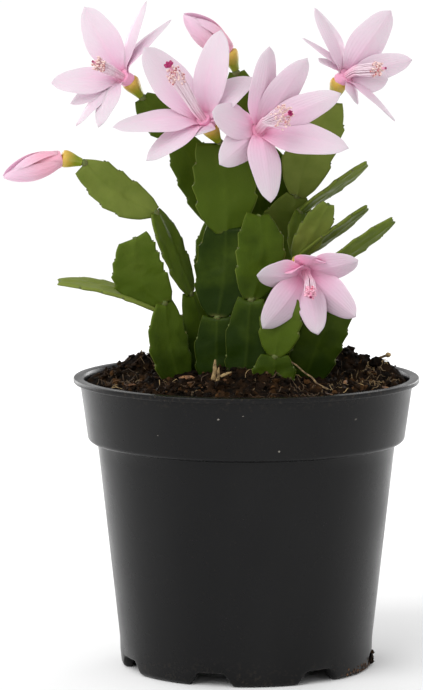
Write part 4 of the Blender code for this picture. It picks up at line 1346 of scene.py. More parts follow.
@dataclass(frozen=True)
class Segment:
    """One flat leaf segment up to its tip, in millimetres and degrees.

    It grows from its base, or where none is given from the tip of the segment before it.
    The turn is about its length, the arch bows it out of its plane and the sweep bows it sideways.
    The horns are the two teeth at its cut-off tip, left and right. The light shifts its tone: partly the
    leaf's own tone, partly painted light on brighter leaves and painted shade on darker, shaded ones.
    """

    tip: Point
    width: float
    turn: float
    arch: float = 0.0
    sweep: float = 0.0
    teeth: int = 3
    horns: Pair = (0.06, 0.02)
    # light: partly the leaf's own tone, partly painted light and painted shade
    light: float = 0.0
    base: Point | None = None

    RIB = 2.6
    MARGIN_SHARE = 0.50
    RIDGE = 0.17
    FOOT = 0.30
    FOOT_ROWS = (0.0, 0.03, 0.07)
    FOOT_SPAN = (-0.03, 0.13)
    SHOULDER = 0.11
    SWELL_START = 0.07
    SWELL_SPAN = 0.80
    SWELL_POWER = 0.6
    TIP = 0.36
    TIP_BULGE = 0.05
    END = 1.02
    NOTCH = 0.992
    NOTCH_FROM = 0.72
    FIRST_TOOTH = 0.34
    LAST_TOOTH = 0.98
    TOOTH = 0.055
    TOOTH_CURVE = 1.6
    TOOTH_BACK = 0.16
    FIRST_STEPS = 7
    TOOTH_STEPS = 5
    CORNER_CUT = 0.22
    STAGGER = 0.045
    FOLD = 0.10
    COLUMNS = 36
    EDGE = 0.8
    # each wave's scale across and along, its layer of noise and its height
    WAVES = ((2.0, 4.5, 0.0, 0.55), (5.0, 11.0, 3.0, 0.16))
    AREOLE = (0.42, 0.5, 0.55)
    END_AREOLE = (1.1, 0.7, 0.5)

    @cached_property
    def axes(self) -> tuple[Vector, Vector, Vector]:
        """Work out the segment's directions.

        Returns:
            The directions along (at full length), across and out of it.
        """
        along = mm(self.tip) - mm(self.base)
        across = rotated(along.cross(Vector((0.0, -1.0, 0.0))).normalized(), math.radians(self.turn), along)
        return along, across, across.cross(along).normalized()

    def teeth_at(self, lead: float) -> tuple[float, float]:
        """Return the share of the length at which a margin's first tooth ends, and the step to the next."""
        first = self.FIRST_TOOTH + lead
        return first, (self.LAST_TOOTH - first) / self.teeth

    @classmethod
    def swell(cls, share: float) -> float:
        """Return the outline's share of the half width without its teeth."""
        return math.sin(math.pi * (cls.SWELL_START + cls.SWELL_SPAN * share)) ** cls.SWELL_POWER

    def margin(self, lead: float, horn: float) -> Profile:
        """Return one toothed margin.

        Args:
            lead: How far its teeth stand ahead of the other margin's.
            horn: How far its last tooth stands out.

        Returns:
            Pairs of the share of the length and the share of the half width, one for each row.
        """
        shoulder = self.SHOULDER
        points = []
        for share in self.FOOT_ROWS:
            points.append((share, blend(self.FOOT, self.swell(shoulder), ease(*self.FOOT_SPAN, share))))
        points.append((shoulder, self.swell(shoulder)))
        first, step = self.teeth_at(lead)
        start, low = shoulder, 0.0
        for index in range(self.teeth):
            tip = first + index * step
            steps = self.TOOTH_STEPS if index else self.FIRST_STEPS
            for part in range(1, steps + 1):
                share = blend(start, tip, part / steps)
                tooth = blend(low, self.TOOTH, (part / steps) ** self.TOOTH_CURVE)
                points.append((share, self.swell(share) + tooth))
            start, low = tip + step * self.TOOTH_BACK, -self.TOOTH
            points.append((start, self.swell(start) + low))
        close, end = points[-1][1], self.TIP + horn
        for share in (0.25, 0.5, 0.75, 1.0):
            half = blend(close, end, share) + self.TIP_BULGE * math.sin(math.pi * share)
            points.append((blend(start, self.END, share), half))
        return self.soften(points)

    @classmethod
    def soften(cls, points: Profile) -> Profile:
        """Return a line with its corners cut once, its ends kept.

        Args:
            points: The line.

        Returns:
            The softer line.
        """
        made = [points[0]]
        cuts = (cls.CORNER_CUT, 1.0 - cls.CORNER_CUT)
        for one, two in zip(points, points[1:]):
            made += [(blend(one[0], two[0], share), blend(one[1], two[1], share)) for share in cuts]
        return made + [points[-1]]

    def point(self, share: float, half: float, lift: float = 0.0) -> Vector:
        """Return a point of the segment.

        Args:
            share: The share of the length.
            half: The signed share of the half width.
            lift: How far it stands out of the middle surface.

        Returns:
            The point, in metres.
        """
        along, across, normal = self.axes
        bow = 4.0 * share * (1.0 - share)
        sideways = half * self.width / 2 + self.sweep * bow
        out = self.arch * bow + self.FOLD * abs(half) * self.width / 2 + lift
        return mm(self.base) + along * share + across * (sideways * MM) + normal * (out * MM)

    def blade(self, shape: Shape, tone: float) -> None:
        """Roll the blade: a raised rib on both faces, thin rounded margins and a notched tip.

        Args:
            shape: The piece it belongs to.
            tone: How light it is.
        """
        left, right = self.margin(0.0, self.horns[0]), self.margin(self.STAGGER, self.horns[1])
        rows = len(left) - 1
        seed = Vector(self.base) * 0.37
        length = self.axes[0].length / MM

        def place(turn: float, row_share: float) -> Vector:
            """Place a point of the blade's skin.

            Args:
                turn: The share of the way round.
                row_share: The share of the rows.

            Returns:
                The point.
            """
            row = round(row_share * rows)
            face = 1.0 if turn < 0.5 else -1.0
            side = side_of(turn)
            reach = abs(side)
            edge_share, edge = left[row] if side < 0 else right[row]
            middle = (left[row][0] + right[row][0]) / 2
            middle -= (self.END - self.NOTCH) * ease(self.NOTCH_FROM, self.END, middle)
            share = blend(middle, edge_share, reach)
            inset = min((1.0 - row_share) * length * 0.7, row_share * length)
            inset = min(inset, (1.0 - reach) * edge * self.width / 2)
            ridge = 0.5 * math.exp(-((reach / self.RIDGE) ** 2)) + 0.5 * (1.0 - reach)
            thick = self.RIB * blend(self.MARGIN_SHARE, 1.0, ridge) * round_off(inset, self.EDGE)
            half = edge * reach * math.copysign(1.0, side)
            wave = 0.0
            for across, along, layer, height in self.WAVES:
                wave += noise.noise(Vector((half * across, share * along, layer)) + seed) * height
            return self.point(share, half, wave * 4.0 * share * (1.0 - share) + face * thick / 2)

        shape.roll(self.COLUMNS, rows, place, tone)

    def areoles(self, shape: Shape, last: bool) -> None:
        """Set a small woolly areole in every notch of the margins and, on a last segment, at its tip.

        Args:
            shape: The piece it belongs to.
            last: Whether nothing grows from the segment's tip.
        """
        along, _, normal = self.axes
        for sign, lead in ((-1.0, 0.0), (1.0, self.STAGGER)):
            margin = self.margin(lead, 0.1)
            first, step = self.teeth_at(lead)
            for index in range(self.teeth):
                share = first + (index + self.TOOTH_BACK) * step
                half = min(margin, key=lambda pair: abs(pair[0] - share))[1]
                centre = self.point(share, sign * half * 0.97)
                shape.bead(centre, self.AREOLE, along + normal * 0.001, 1, 0.5, 0.5, 1)
        if last:
            shape.bead(self.point(self.NOTCH, 0.0), self.END_AREOLE, along, 2, 0.6, 0.5, 1)


@dataclass(frozen=True)
class Stem:
    """One leafy stem rooted in the peat, the turn of its foot in degrees."""

    name: str
    root: Point
    turn: float
    tone: float
    segments: tuple[Segment, ...]

    ROOT_DEPTH = 15.0
    ROOT_BELOW = 3.0
    ROOT_TOP = (3.0, 1.5)
    ROOT_TAPER = 0.55
    ROOT_ROWS = 14
    SUNK = 5.0
    KNUCKLE = 1.55
    TONE_SPREAD = 0.09
    SHARP = math.radians(65.0)

    def buried_foot(self, shape: Shape) -> None:
        """Roll the flattened woody foot that stands in the peat.

        Args:
            shape: The stem's piece.
        """
        turn = math.radians(self.turn)
        one, two = round_z(turn), Vector((-math.sin(turn), math.cos(turn), 0.0))
        low, high = self.root[2] - self.ROOT_DEPTH, self.root[2] - self.ROOT_BELOW

        def place(round_share: float, share: float) -> Vector:
            """Place a point of the foot's bark.

            Args:
                round_share: The share of the way round.
                share: The share of the way up.

            Returns:
                The point.
            """
            angle = round_share * math.tau
            closed = 0.0 if share in (0.0, 1.0) else 1.0
            level = min(max((share * self.ROOT_ROWS - 1.0) / (self.ROOT_ROWS - 2.0), 0.0), 1.0)
            size = blend(self.ROOT_TAPER, 1.0, level) * closed * (1.0 + 0.08 * math.sin(level * 17.0))
            out = one * (self.ROOT_TOP[0] * math.cos(angle)) + two * (self.ROOT_TOP[1] * math.sin(angle))
            return mm((*self.root[:2], blend(low, high, level))) + out * size * MM

        shape.roll(20, self.ROOT_ROWS, place, 0.3, 1)

    def rooted(self) -> list[Segment]:
        """Return the segments, each with its base.

        Returns:
            The segments from the peat up.
        """
        made, last = [], self.root
        for segment in self.segments:
            made.append(replace(segment, base=segment.base or last))
            last = segment.tip
        return made

    def build(self, seats: set[Point]) -> None:
        """Build the stem: its buried foot, segments, joints and areoles.

        Args:
            seats: The points that blooms and buds grow from.
        """
        shape = Shape()
        draw = random.Random(self.name)
        self.buried_foot(shape)
        segments = self.rooted()
        foot = segments[0].base
        grown = {segment.base for segment in segments}
        joints = {}
        for segment in segments:
            if segment.base == foot:
                segment = replace(segment, base=(*foot[:2], foot[2] - self.SUNK))
            # The segment's light adds its own tone and painted light or painted shade to the stem's tone.
            tone = self.tone + segment.light + draw.uniform(-self.TONE_SPREAD, self.TONE_SPREAD)
            tone = min(max(tone, 0.0), 1.3)
            segment.blade(shape, tone)
            segment.areoles(shape, segment.tip not in grown | seats)
            joints[segment.base] = segment.axes[0]
            if segment.tip in seats:
                joints[segment.tip] = segment.axes[0]
        size = (self.KNUCKLE, self.KNUCKLE * 0.86, self.KNUCKLE * 0.9)
        for point, direction in joints.items():
            shape.bead(mm(point), size, direction, 3, 0.22, 0.5, 1)
        shape.finish(self.name + "_leaves", [Finish.LEAF, Finish.JOINT], Slot.LEAF, [self.name], self.SHARP)


# ---- blooms ------------------------------------------------------------------------------------------


@dataclass(frozen=True)
class Petal:
    """One lance-shaped petal bent along base, lead and tip, all in metres, its width in millimetres."""

    base: Vector
    lead: Vector
    tip: Vector
    across: Vector
    width: float
    cup: float
    tone: float = 0.0
    ripple: float = 0.35
    seed: float = 0.0

    OUTLINE = ((0.0, 0.42), (0.27, 0.82), (0.55, 1.0), (0.80, 0.78), (0.93, 0.46), (1.0, 0.0))
    THICKNESS = 0.62
    MARGIN_SHARE = 0.45
    FOOT_CUP = -0.32
    CUP_POWER = 1.7
    KEEL = 0.20
    KEEL_SHARE = 0.17
    EDGE = 0.35
    GATHER = 0.35
    COLUMNS = 40
    ROWS = 30

    def half_width(self, share: float) -> float:
        """Return how wide the petal is, on a smooth curve through its outline.

        Args:
            share: The share of the length.

        Returns:
            The share of the half width.
        """
        points = self.OUTLINE
        last = len(points) - 1
        index = max(step for step in range(last) if share >= points[step][0])
        one, two = points[index], points[index + 1]
        before, after = points[max(index - 1, 0)], points[min(index + 2, last)]
        width = two[0] - one[0]
        rise_one = (two[1] - before[1]) / (two[0] - before[0]) * width
        rise_two = (after[1] - one[1]) / (after[0] - one[0]) * width
        part = (share - one[0]) / width
        rest = 1.0 - part
        return (
            one[1] * (1.0 + 2.0 * part) * rest**2
            + rise_one * part * rest**2
            + two[1] * part**2 * (3.0 - 2.0 * part)
            - rise_two * part**2 * rest
        )

    def add(self, shape: Shape) -> None:
        """Roll the petal: thin, cupped, keeled along its rib and rippled at its margins.

        Args:
            shape: The piece it belongs to.
        """
        length = (self.tip - self.base).length / MM
        draw = random.Random(self.seed)
        waves = (draw.uniform(5.0, 8.0), draw.uniform(0.0, math.tau), draw.uniform(0.0, math.tau))

        def place(turn: float, step: float) -> Vector:
            """Place a point of the petal's skin.

            Args:
                turn: The share of the way round.
                step: The share of the rows.

            Returns:
                The point.
            """
            share = gather(step, self.GATHER)
            face = 1.0 if turn < 0.5 else -1.0
            side = side_of(turn)
            reach = abs(side)
            half = self.half_width(share)
            centre = bezier(self.base, self.lead, self.tip, share)
            tangent = (self.lead - self.base) * (1.0 - share) + (self.tip - self.lead) * share
            normal = self.across.cross(tangent).normalized()
            inset = min((1.0 - reach) * half * self.width / 2, (1.0 - share) * length, share * length + 0.1)
            thick = self.THICKNESS * blend(1.0, self.MARGIN_SHARE, reach) * round_off(inset, self.EDGE)
            wave = math.sin(share * waves[0] + (waves[1] if side < 0.0 else waves[2])) * self.ripple
            keel = self.KEEL * math.exp(-((reach / self.KEEL_SHARE) ** 2))
            keel *= math.sin(math.pi * min(share + 0.15, 1.0))
            cup = blend(self.FOOT_CUP, self.cup, ease(0.02, 0.36, share)) * self.width / 2
            lift = reach**self.CUP_POWER * half * cup + wave * reach**2 * half - keel + face * thick / 2
            return centre + self.across * (side * half * self.width / 2 * MM) + normal * (lift * MM)

        shape.roll(self.COLUMNS, self.ROWS, place, self.tone)


@dataclass(frozen=True)
class PetalPlan:
    """Where one petal of a bloom ends: its tip from the throat, in millimetres, with its width and roll.

    The rise is the share of the tube's length at which it springs from the tube.
    """

    tip: Point
    width: float
    roll: float
    rise: float
    tone: float = 0.0


class FlowerFoot:
    """What blooms and buds share: the ovary that stands between the stem and the petals."""

    OVARY_RADIUS = 3.0
    KNUCKLE = 1.7
    TOP_RADIUS = 2.7
    STALK = 1.35
    RIBS = 5.0
    RIB_RISE = 0.035
    ROWS = 23

    @classmethod
    def ovary(cls, name: str, seat: Vector, neck: Vector) -> None:
        """Turn the ovary: a smooth pear with faint ribs, ochre where the petals start.

        Args:
            name: The flower's name.
            seat: Where it grows from the stem, in metres.
            neck: Where the petals start, in metres.
        """
        reach = neck - seat
        aim = reach.normalized()
        start = seat + aim * (cls.KNUCKLE * 0.55 * MM)
        length = (neck - start).length / MM + 0.15
        profile = [(0.0, length), (cls.TOP_RADIUS * 0.8, length)]
        for step in range(cls.ROWS - 1, 0, -1):
            share = step / cls.ROWS
            swell = blend(cls.STALK, cls.OVARY_RADIUS, ease(-0.1, 0.86, share))
            profile.append((blend(swell, cls.TOP_RADIUS, ease(0.8, 1.0, share)), length * share))
        profile += [(cls.STALK, 0.0), (0.0, 0.0)]
        shape = Shape()
        made = shape.lathe(profile, 30, Matrix.Identity(4))
        for vertex in made:
            ribs = cls.RIB_RISE * math.cos(math.atan2(vertex.co.y, vertex.co.x) * cls.RIBS)
            vertex.co.xy *= 1.0 + ribs + 0.03 * noise.noise(vertex.co * 420.0 + seat * 90.0)
        bmesh.ops.transform(shape.bm, matrix=along_z(start, aim), verts=made)
        shape.finish(name + "_green_ovary", [Finish.OVARY], Slot.OVARY, [name + "_ovary"])


@dataclass(frozen=True)
class Bloom:
    """One open bloom: ovary, petal tube with its petals, brush of stamens, and pistil."""

    name: str
    seat: Point
    neck: Point
    throat: Point
    brush: Point
    spread: float
    petals: tuple[PetalPlan, ...]
    filaments: int = 60
    stigma: float = 1.0
    blush: float = 0.0
    ripe: bool = True

    TUBE_WALL = 0.8
    TUBE_PLUG = 0.50
    TUBE_NARROW = 2.55
    TUBE_WIDE = 3.1
    TUBE_MOUTH = 2.6
    TUBE_END = 0.525
    SET_BACK = 0.45
    LOWEST = 0.3
    CUP = 0.16
    LEAD_AHEAD = 0.30
    LEAD_OUT = 0.16
    FOOT_RADIUS = 1.45
    LOW_RADIUS = 1.3
    BUNDLE_RADIUS = 1.9
    BUNDLE_SHARE = 0.22
    SPIRAL = 2.39996
    REACHES = (0.66, 1.04)
    DOME = 0.08
    SPLAYS = (0.8, 1.02)
    BOW = 0.3
    LEAN = 0.5
    FILAMENT_RADII = (0.17, 0.11)
    ANTHER = (0.40, 0.34, 0.58)
    STYLE_RADIUS = 0.36
    STIGMA_REACH = 1.2
    STIGMA_LOBES = 6
    LOBE_RADII = (0.20, 0.26, 0.32, 0.34, 0.20)

    @cached_property
    def line(self) -> tuple[Vector, Vector, Vector, Vector]:
        """Return the neck, the throat and the end of the brush, in metres, and the direction of the tube."""
        neck, throat, brush = mm(self.neck), mm(self.throat), mm(self.brush)
        return neck, throat, brush, (throat - neck).normalized()

    def tube(self, shape: Shape) -> None:
        """Turn the petal tube, its throat closed by the soft disc that the filaments stand on.

        Args:
            shape: The piece it belongs to.
        """
        neck, throat, _, axis = self.line
        length = (throat - neck).length / MM
        start, mouth = (self.TUBE_NARROW, 0.0), (self.TUBE_MOUTH, length * self.TUBE_END)
        plug = length * self.TUBE_PLUG
        profile = [(0.0, 0.0), start, *straight(start, mouth, 8), mouth]
        profile += [(self.TUBE_MOUTH - self.TUBE_WALL / 2, plug), (1.2, plug + 0.1), (0.0, plug + 0.2)]
        shape.lathe(profile, 28, along_z(neck, axis), 1.2)

    def perianth(self) -> None:
        """Build the tube and its petals as one piece."""
        neck, throat, brush, axis = self.line
        aim = (brush - throat).normalized()
        shape = Shape()
        self.tube(shape)
        for index, plan in enumerate(self.petals):
            radial = mm(plan.tip)
            end = throat + radial
            radial -= axis * radial.dot(axis)
            radial.normalize()
            rise = max(plan.rise - self.SET_BACK, self.LOWEST)
            radius = blend(self.TUBE_NARROW, self.TUBE_WIDE, rise)
            base = neck.lerp(throat, rise) + radial * ((radius - self.TUBE_WALL / 3) * MM)
            lead = base + (axis * self.LEAD_AHEAD + radial * self.LEAD_OUT) * (end - base).length
            across = rotated(aim.cross(end - base).normalized(), math.radians(plan.roll), end - base)
            tone = plan.tone + self.blush
            Petal(base, lead, end, across, plan.width, self.CUP, tone, seed=index + self.throat[0]).add(shape)
        shape.finish(self.name + "_silk_petals", [Finish.PETAL], Slot.PETAL, [self.name + "_petals"])

    def filament(self, shape: Shape, ring: Vector, share: float, draw: random.Random) -> None:
        """Add one filament, which leaves the throat with the others and splays, and its anther.

        Args:
            shape: The brush's piece.
            ring: The direction in which it stands off the bundle's middle.
            share: How far out in the bundle it stands.
            draw: The brush's random numbers.
        """
        neck, throat, brush, axis = self.line
        mouth = throat.lerp(brush, self.BUNDLE_SHARE)
        foot = neck.lerp(throat, self.TUBE_PLUG) - axis * (0.5 * MM) + ring * (share * self.FOOT_RADIUS * MM)
        waist = mouth + ring * (share * self.BUNDLE_RADIUS * MM)
        reach = draw.uniform(*self.REACHES) - self.DOME * share
        splay = self.spread * share * draw.uniform(*self.SPLAYS)
        end = mouth + (brush - mouth) * reach + ring * (splay * MM)
        middle = waist.lerp(end, 0.5) + ring * draw.uniform(-self.BOW, self.BOW) * MM
        low = throat.lerp(waist, 0.2) + ring * (share * self.LOW_RADIUS * MM)
        path = smooth([foot, low, waist, middle, end], 3)
        last = len(path) - 1
        shape.tube(path, [blend(*self.FILAMENT_RADII, step / last) for step in range(last + 1)], 5)
        side = (brush - mouth).normalized().orthogonal().normalized()
        heading = (end - middle).normalized() + side * draw.uniform(-self.LEAN, self.LEAN)
        shape.bead(end, self.ANTHER, heading, 2, 0.18, 0.5, 1)

    def stamens(self) -> None:
        """Build the brush of filaments, spread over the bundle in a spiral."""
        draw = random.Random(self.name)
        _, throat, brush, _ = self.line
        out = (brush - throat.lerp(brush, self.BUNDLE_SHARE)).normalized()
        side = out.orthogonal().normalized()
        shape = Shape()
        for index in range(self.filaments):
            ring = rotated(side, index * self.SPIRAL + draw.uniform(-0.3, 0.3), out)
            self.filament(shape, ring, math.sqrt((index + 0.5) / self.filaments), draw)
        pieces = [Finish.FILAMENT, Finish.ANTHER if self.ripe else Finish.YOUNG_ANTHER]
        shape.finish(self.name + "_brush_stamens", pieces, Slot.STAMEN, [self.name + "_stamens"])

    def pistil(self) -> None:
        """Build the style, which rises through the brush, and the lobes of its stigma."""
        _, throat, brush, _ = self.line
        out = (brush - throat).normalized()
        start = throat.lerp(brush, self.BUNDLE_SHARE * 0.5)
        end = brush + out * (self.STIGMA_REACH * MM)
        shape = Shape()
        shares = [step / 12 for step in range(13)]
        radii = [self.STYLE_RADIUS * blend(0.95, 1.25, ease(0.8, 1.0, share)) for share in shares]
        shape.tube([start.lerp(end, share) for share in shares], radii, 10)
        side = out.orthogonal().normalized()
        for index in range(self.STIGMA_LOBES):
            ring = rotated(side, index * math.tau / self.STIGMA_LOBES, out)
            root = end - out * (0.1 * MM) + ring * (0.15 * MM)
            tip = end + (out * 0.7 + ring) * (self.stigma * MM)
            path = smooth([root, root.lerp(tip, 0.5) + out * (0.25 * MM), tip], 2)
            shape.tube(path, [radius * self.stigma for radius in self.LOBE_RADII], 8, material=1)
        pieces = [Finish.STYLE, Finish.STIGMA]
        shape.finish(self.name + "_style", pieces, Slot.PISTIL, [self.name + "_pistil"])

    def build(self) -> None:
        """Build the bloom's four pieces."""
        FlowerFoot.ovary(self.name, mm(self.seat), mm(self.neck))
        self.perianth()
        self.stamens()
        self.pistil()


@dataclass(frozen=True)
class Bud:
    """One closed bud: an ovary, and petals wrapped round a core."""

    name: str
    seat: Point
    neck: Point
    tip: Point
    girth: float
    wraps: int = 4

    # pairs of the share of the length and of the girth
    FOOT = ((0.0, 0.0), (0.0, 0.58), (0.03, 0.68))
    OUTLINE = ((0.08, 0.75), (0.30, 0.86), (0.55, 0.76), (0.80, 0.40), (0.93, 0.10))
    END = ((0.93, 0.10), (0.95, 0.0))
    WRAP_FOOT = (0.04, 0.66)
    WRAP_LEAD = (0.46, 1.62)
    WRAP_ENDS = (1.0, 0.86)
    WRAP_ROLL = 9.0
    WRAP_WIDTH = 1.5
    WRAP_CUP = -0.34
    WRAP_TONE = 0.36
    WRAP_RIPPLE = 0.12

    def wrapped_petals(self) -> None:
        """Build the core and the petals wrapped round it as one piece."""
        neck, tip = mm(self.neck), mm(self.tip)
        axis = (tip - neck).normalized()
        length = (tip - neck).length / MM
        outline = list(self.FOOT)
        for one, two in zip(self.OUTLINE, self.OUTLINE[1:]):
            for step in (0.0, 0.25, 0.5, 0.75):
                share = blend(step, ease(0.0, 1.0, step), 0.3)
                outline.append((blend(one[0], two[0], share), blend(one[1], two[1], share)))
        outline += self.END
        profile = [(self.girth * out, length * along) for along, out in outline]
        shape = Shape()
        shape.lathe(profile, 28, along_z(neck, axis), 0.4)
        side = axis.orthogonal().normalized()

        def spot(along: float, ring: Vector, out: float) -> Vector:
            """Return the point at a share of the length, standing off the axis by millimetres."""
            return neck + axis * (length * along * MM) + ring * (out * MM)

        for index in range(self.wraps):
            ring = rotated(side, index * math.tau / self.wraps + 0.3, axis)
            base = spot(self.WRAP_FOOT[0], ring, self.girth * self.WRAP_FOOT[1])
            lead = spot(self.WRAP_LEAD[0], ring, self.girth * self.WRAP_LEAD[1])
            end = spot(self.WRAP_ENDS[index % 2], ring, 0.5)
            across = rotated(axis.cross(ring).normalized(), math.radians(self.WRAP_ROLL), axis)
            width, look = self.girth * self.WRAP_WIDTH, (self.WRAP_CUP, self.WRAP_TONE, self.WRAP_RIPPLE)
            Petal(base, lead, end, across, width, *look, index + self.girth).add(shape)
        # The lighter bud finish paints light onto the wrapped petals.
        shape.finish(self.name + "_wrapped_petals", [Finish.BUD_PAINTED_LIGHT], Slot.PETAL, [self.name + "_petals"])

    def build(self) -> None:
        """Build the bud's two pieces."""
        FlowerFoot.ovary(self.name, mm(self.seat), mm(self.neck))
        self.wrapped_petals()


# ---- the plant, millimetres --------------------------------------------------------------------------

# Each segment's light holds painted light and painted shade as well as the leaf's own tone.
STEMS = (
    Stem("stem_left_low", (-22.0, -2.0, 101.0), 20.0, 0.5, (
        Segment((-28.5, -4.5, 127.0), 15.5, 30.0, sweep=-2.0, light=0.15),
        Segment((-38.3, -11.0, 150.3), 18.5, 8.0, sweep=-4.2, teeth=4, horns=(0.34, 0.08), light=0.12),
        Segment((-64.6, -7.0, 134.4), 11.0, 75.0, arch=2.4, light=0.85, base=(-30.5, -4.0, 124.3)),
    )),
    Stem("stem_left_arch", (-14.0, 5.0, 101.0), 30.0, 0.62, (
        Segment((-19.5, 3.0, 129.5), 14.0, 28.0, sweep=1.6, light=-0.1),
        Segment((-31.5, -1.0, 158.0), 14.5, 58.0),
        Segment((-55.8, -7.0, 175.6), 14.0, 12.0, sweep=-2.0, horns=(0.36, -0.22), light=0.22),
    )),
    Stem("stem_tall_centre", (-10.5, -4.0, 101.0), -15.0, 0.5, (
        Segment((-10.0, -4.0, 122.0), 15.5, -12.0, teeth=2, horns=(0.3, 0.25)),
        Segment((-7.0, -2.0, 153.0), 20.5, -10.0, sweep=0.9, horns=(0.25, 0.25), light=-0.34),
        Segment((-9.5, -5.0, 182.5), 22.0, 4.0, sweep=0.8, horns=(0.34, 0.3), base=(-7.0, -2.0, 151.0)),
    )),
    Stem("stem_back_left", (-8.0, 14.0, 101.0), 10.0, 0.5, (
        Segment((-10.0, 16.0, 122.0), 14.0, 15.0, teeth=2),
        Segment((-10.5, 14.0, 154.5), 14.5, -15.0, sweep=-0.6),
        Segment((-24.0, 8.0, 184.0), 16.0, 10.0, sweep=1.0, base=(-10.0, 14.0, 153.0)),
        Segment((-36.0, 2.0, 197.5), 14.0, -8.0, teeth=2),
    )),
    Stem("stem_centre", (-1.0, -12.0, 101.0), -10.0, 0.3, (
        Segment((1.5, -12.0, 129.0), 15.5, -12.0, teeth=2, horns=(0.22, 0.2)),
        Segment((4.0, -10.0, 158.0), 17.0, 10.0, sweep=1.8, horns=(0.12, 0.05), light=0.1),
    )),
    Stem("stem_back_centre", (4.0, 22.0, 101.0), 0.0, 0.45, (
        Segment((5.0, 24.0, 128.0), 15.0, 170.0, teeth=2),
        Segment((5.0, 18.0, 155.0), 16.0, 190.0, teeth=2),
        Segment((2.0, 7.0, 181.0), 23.0, 175.0, sweep=-1.5),
        Segment((-3.5, 4.0, 206.0), 14.0, 160.0, teeth=2),
    )),
    Stem("stem_right", (9.0, 12.0, 101.0), 15.0, 0.45, (
        Segment((11.0, 14.0, 121.0), 13.0, 20.0, teeth=2),
        Segment((10.5, 12.0, 141.0), 13.0, -20.0, teeth=2),
        Segment((17.5, 8.0, 163.0), 18.5, 10.0, teeth=2, light=0.25),
        Segment((29.5, 2.0, 196.0), 18.0, 8.0, sweep=-1.4, light=0.48),
    )),
    Stem("stem_right_spray", (14.0, 1.0, 101.0), 10.0, 0.62, (
        Segment((18.0, 1.0, 121.0), 13.0, 10.0, teeth=2),
        Segment((17.0, -1.0, 142.0), 12.0, -10.0, teeth=2),
        Segment((28.0, -7.0, 161.5), 11.0, 22.0, light=0.32),
        Segment((41.5, 2.0, 159.5), 9.5, 66.0, light=0.2, base=(17.0, -1.0, 142.0)),
        Segment((18.5, 4.0, 158.0), 9.0, 30.0, teeth=2, base=(17.0, -1.0, 142.0)),
        Segment((41.5, 7.0, 174.3), 9.5, 66.0, light=0.3),
        Segment((24.0, -5.0, 137.0), 11.0, 20.0, teeth=1, base=(18.0, 1.0, 121.0)),
        Segment((50.2, -4.0, 155.6), 8.5, 50.0, light=0.15),
    )),
    Stem("stem_right_low", (18.0, -8.0, 101.0), 5.0, 0.4, (
        Segment((32.0, -12.0, 131.0), 17.0, 10.0, sweep=-0.6, teeth=4, light=0.12),
    )),
    Stem("stem_front", (9.0, -18.0, 101.0), 0.0, 0.35, (
        Segment((9.5, -18.0, 110.5), 15.0, 0.0, teeth=2, horns=(0.26, 0.24), light=0.40),
        Segment((13.5, -17.0, 132.0), 14.5, -6.0, light=0.45, base=(9.5, -18.0, 110.0)),
    )),
    Stem("stem_back_a", (-6.0, 25.0, 101.0), 160.0, 0.4, (
        Segment((-7.0, 34.0, 122.0), 14.0, 170.0, teeth=2),
        Segment((-7.0, 45.0, 143.0), 14.0, 190.0, teeth=2),
    )),
    Stem("stem_back_b", (10.0, 30.0, 101.0), 190.0, 0.4, (
        Segment((12.0, 39.0, 121.0), 14.0, 175.0, teeth=2),
        Segment((13.0, 50.0, 140.0), 14.0, 200.0, teeth=2),
    )),
    Stem("stem_back_c", (20.0, 17.0, 103.0), 20.0, 0.4, (
        Segment((25.0, 24.0, 128.0), 13.0, 200.0, base=(20.0, 17.0, 104.0)),
    )),
    Stem("stem_back_d", (-17.0, 17.0, 101.0), 20.0, 0.4, (
        Segment((-15.0, 30.0, 121.0), 13.0, 150.0, teeth=2),
    )),
)

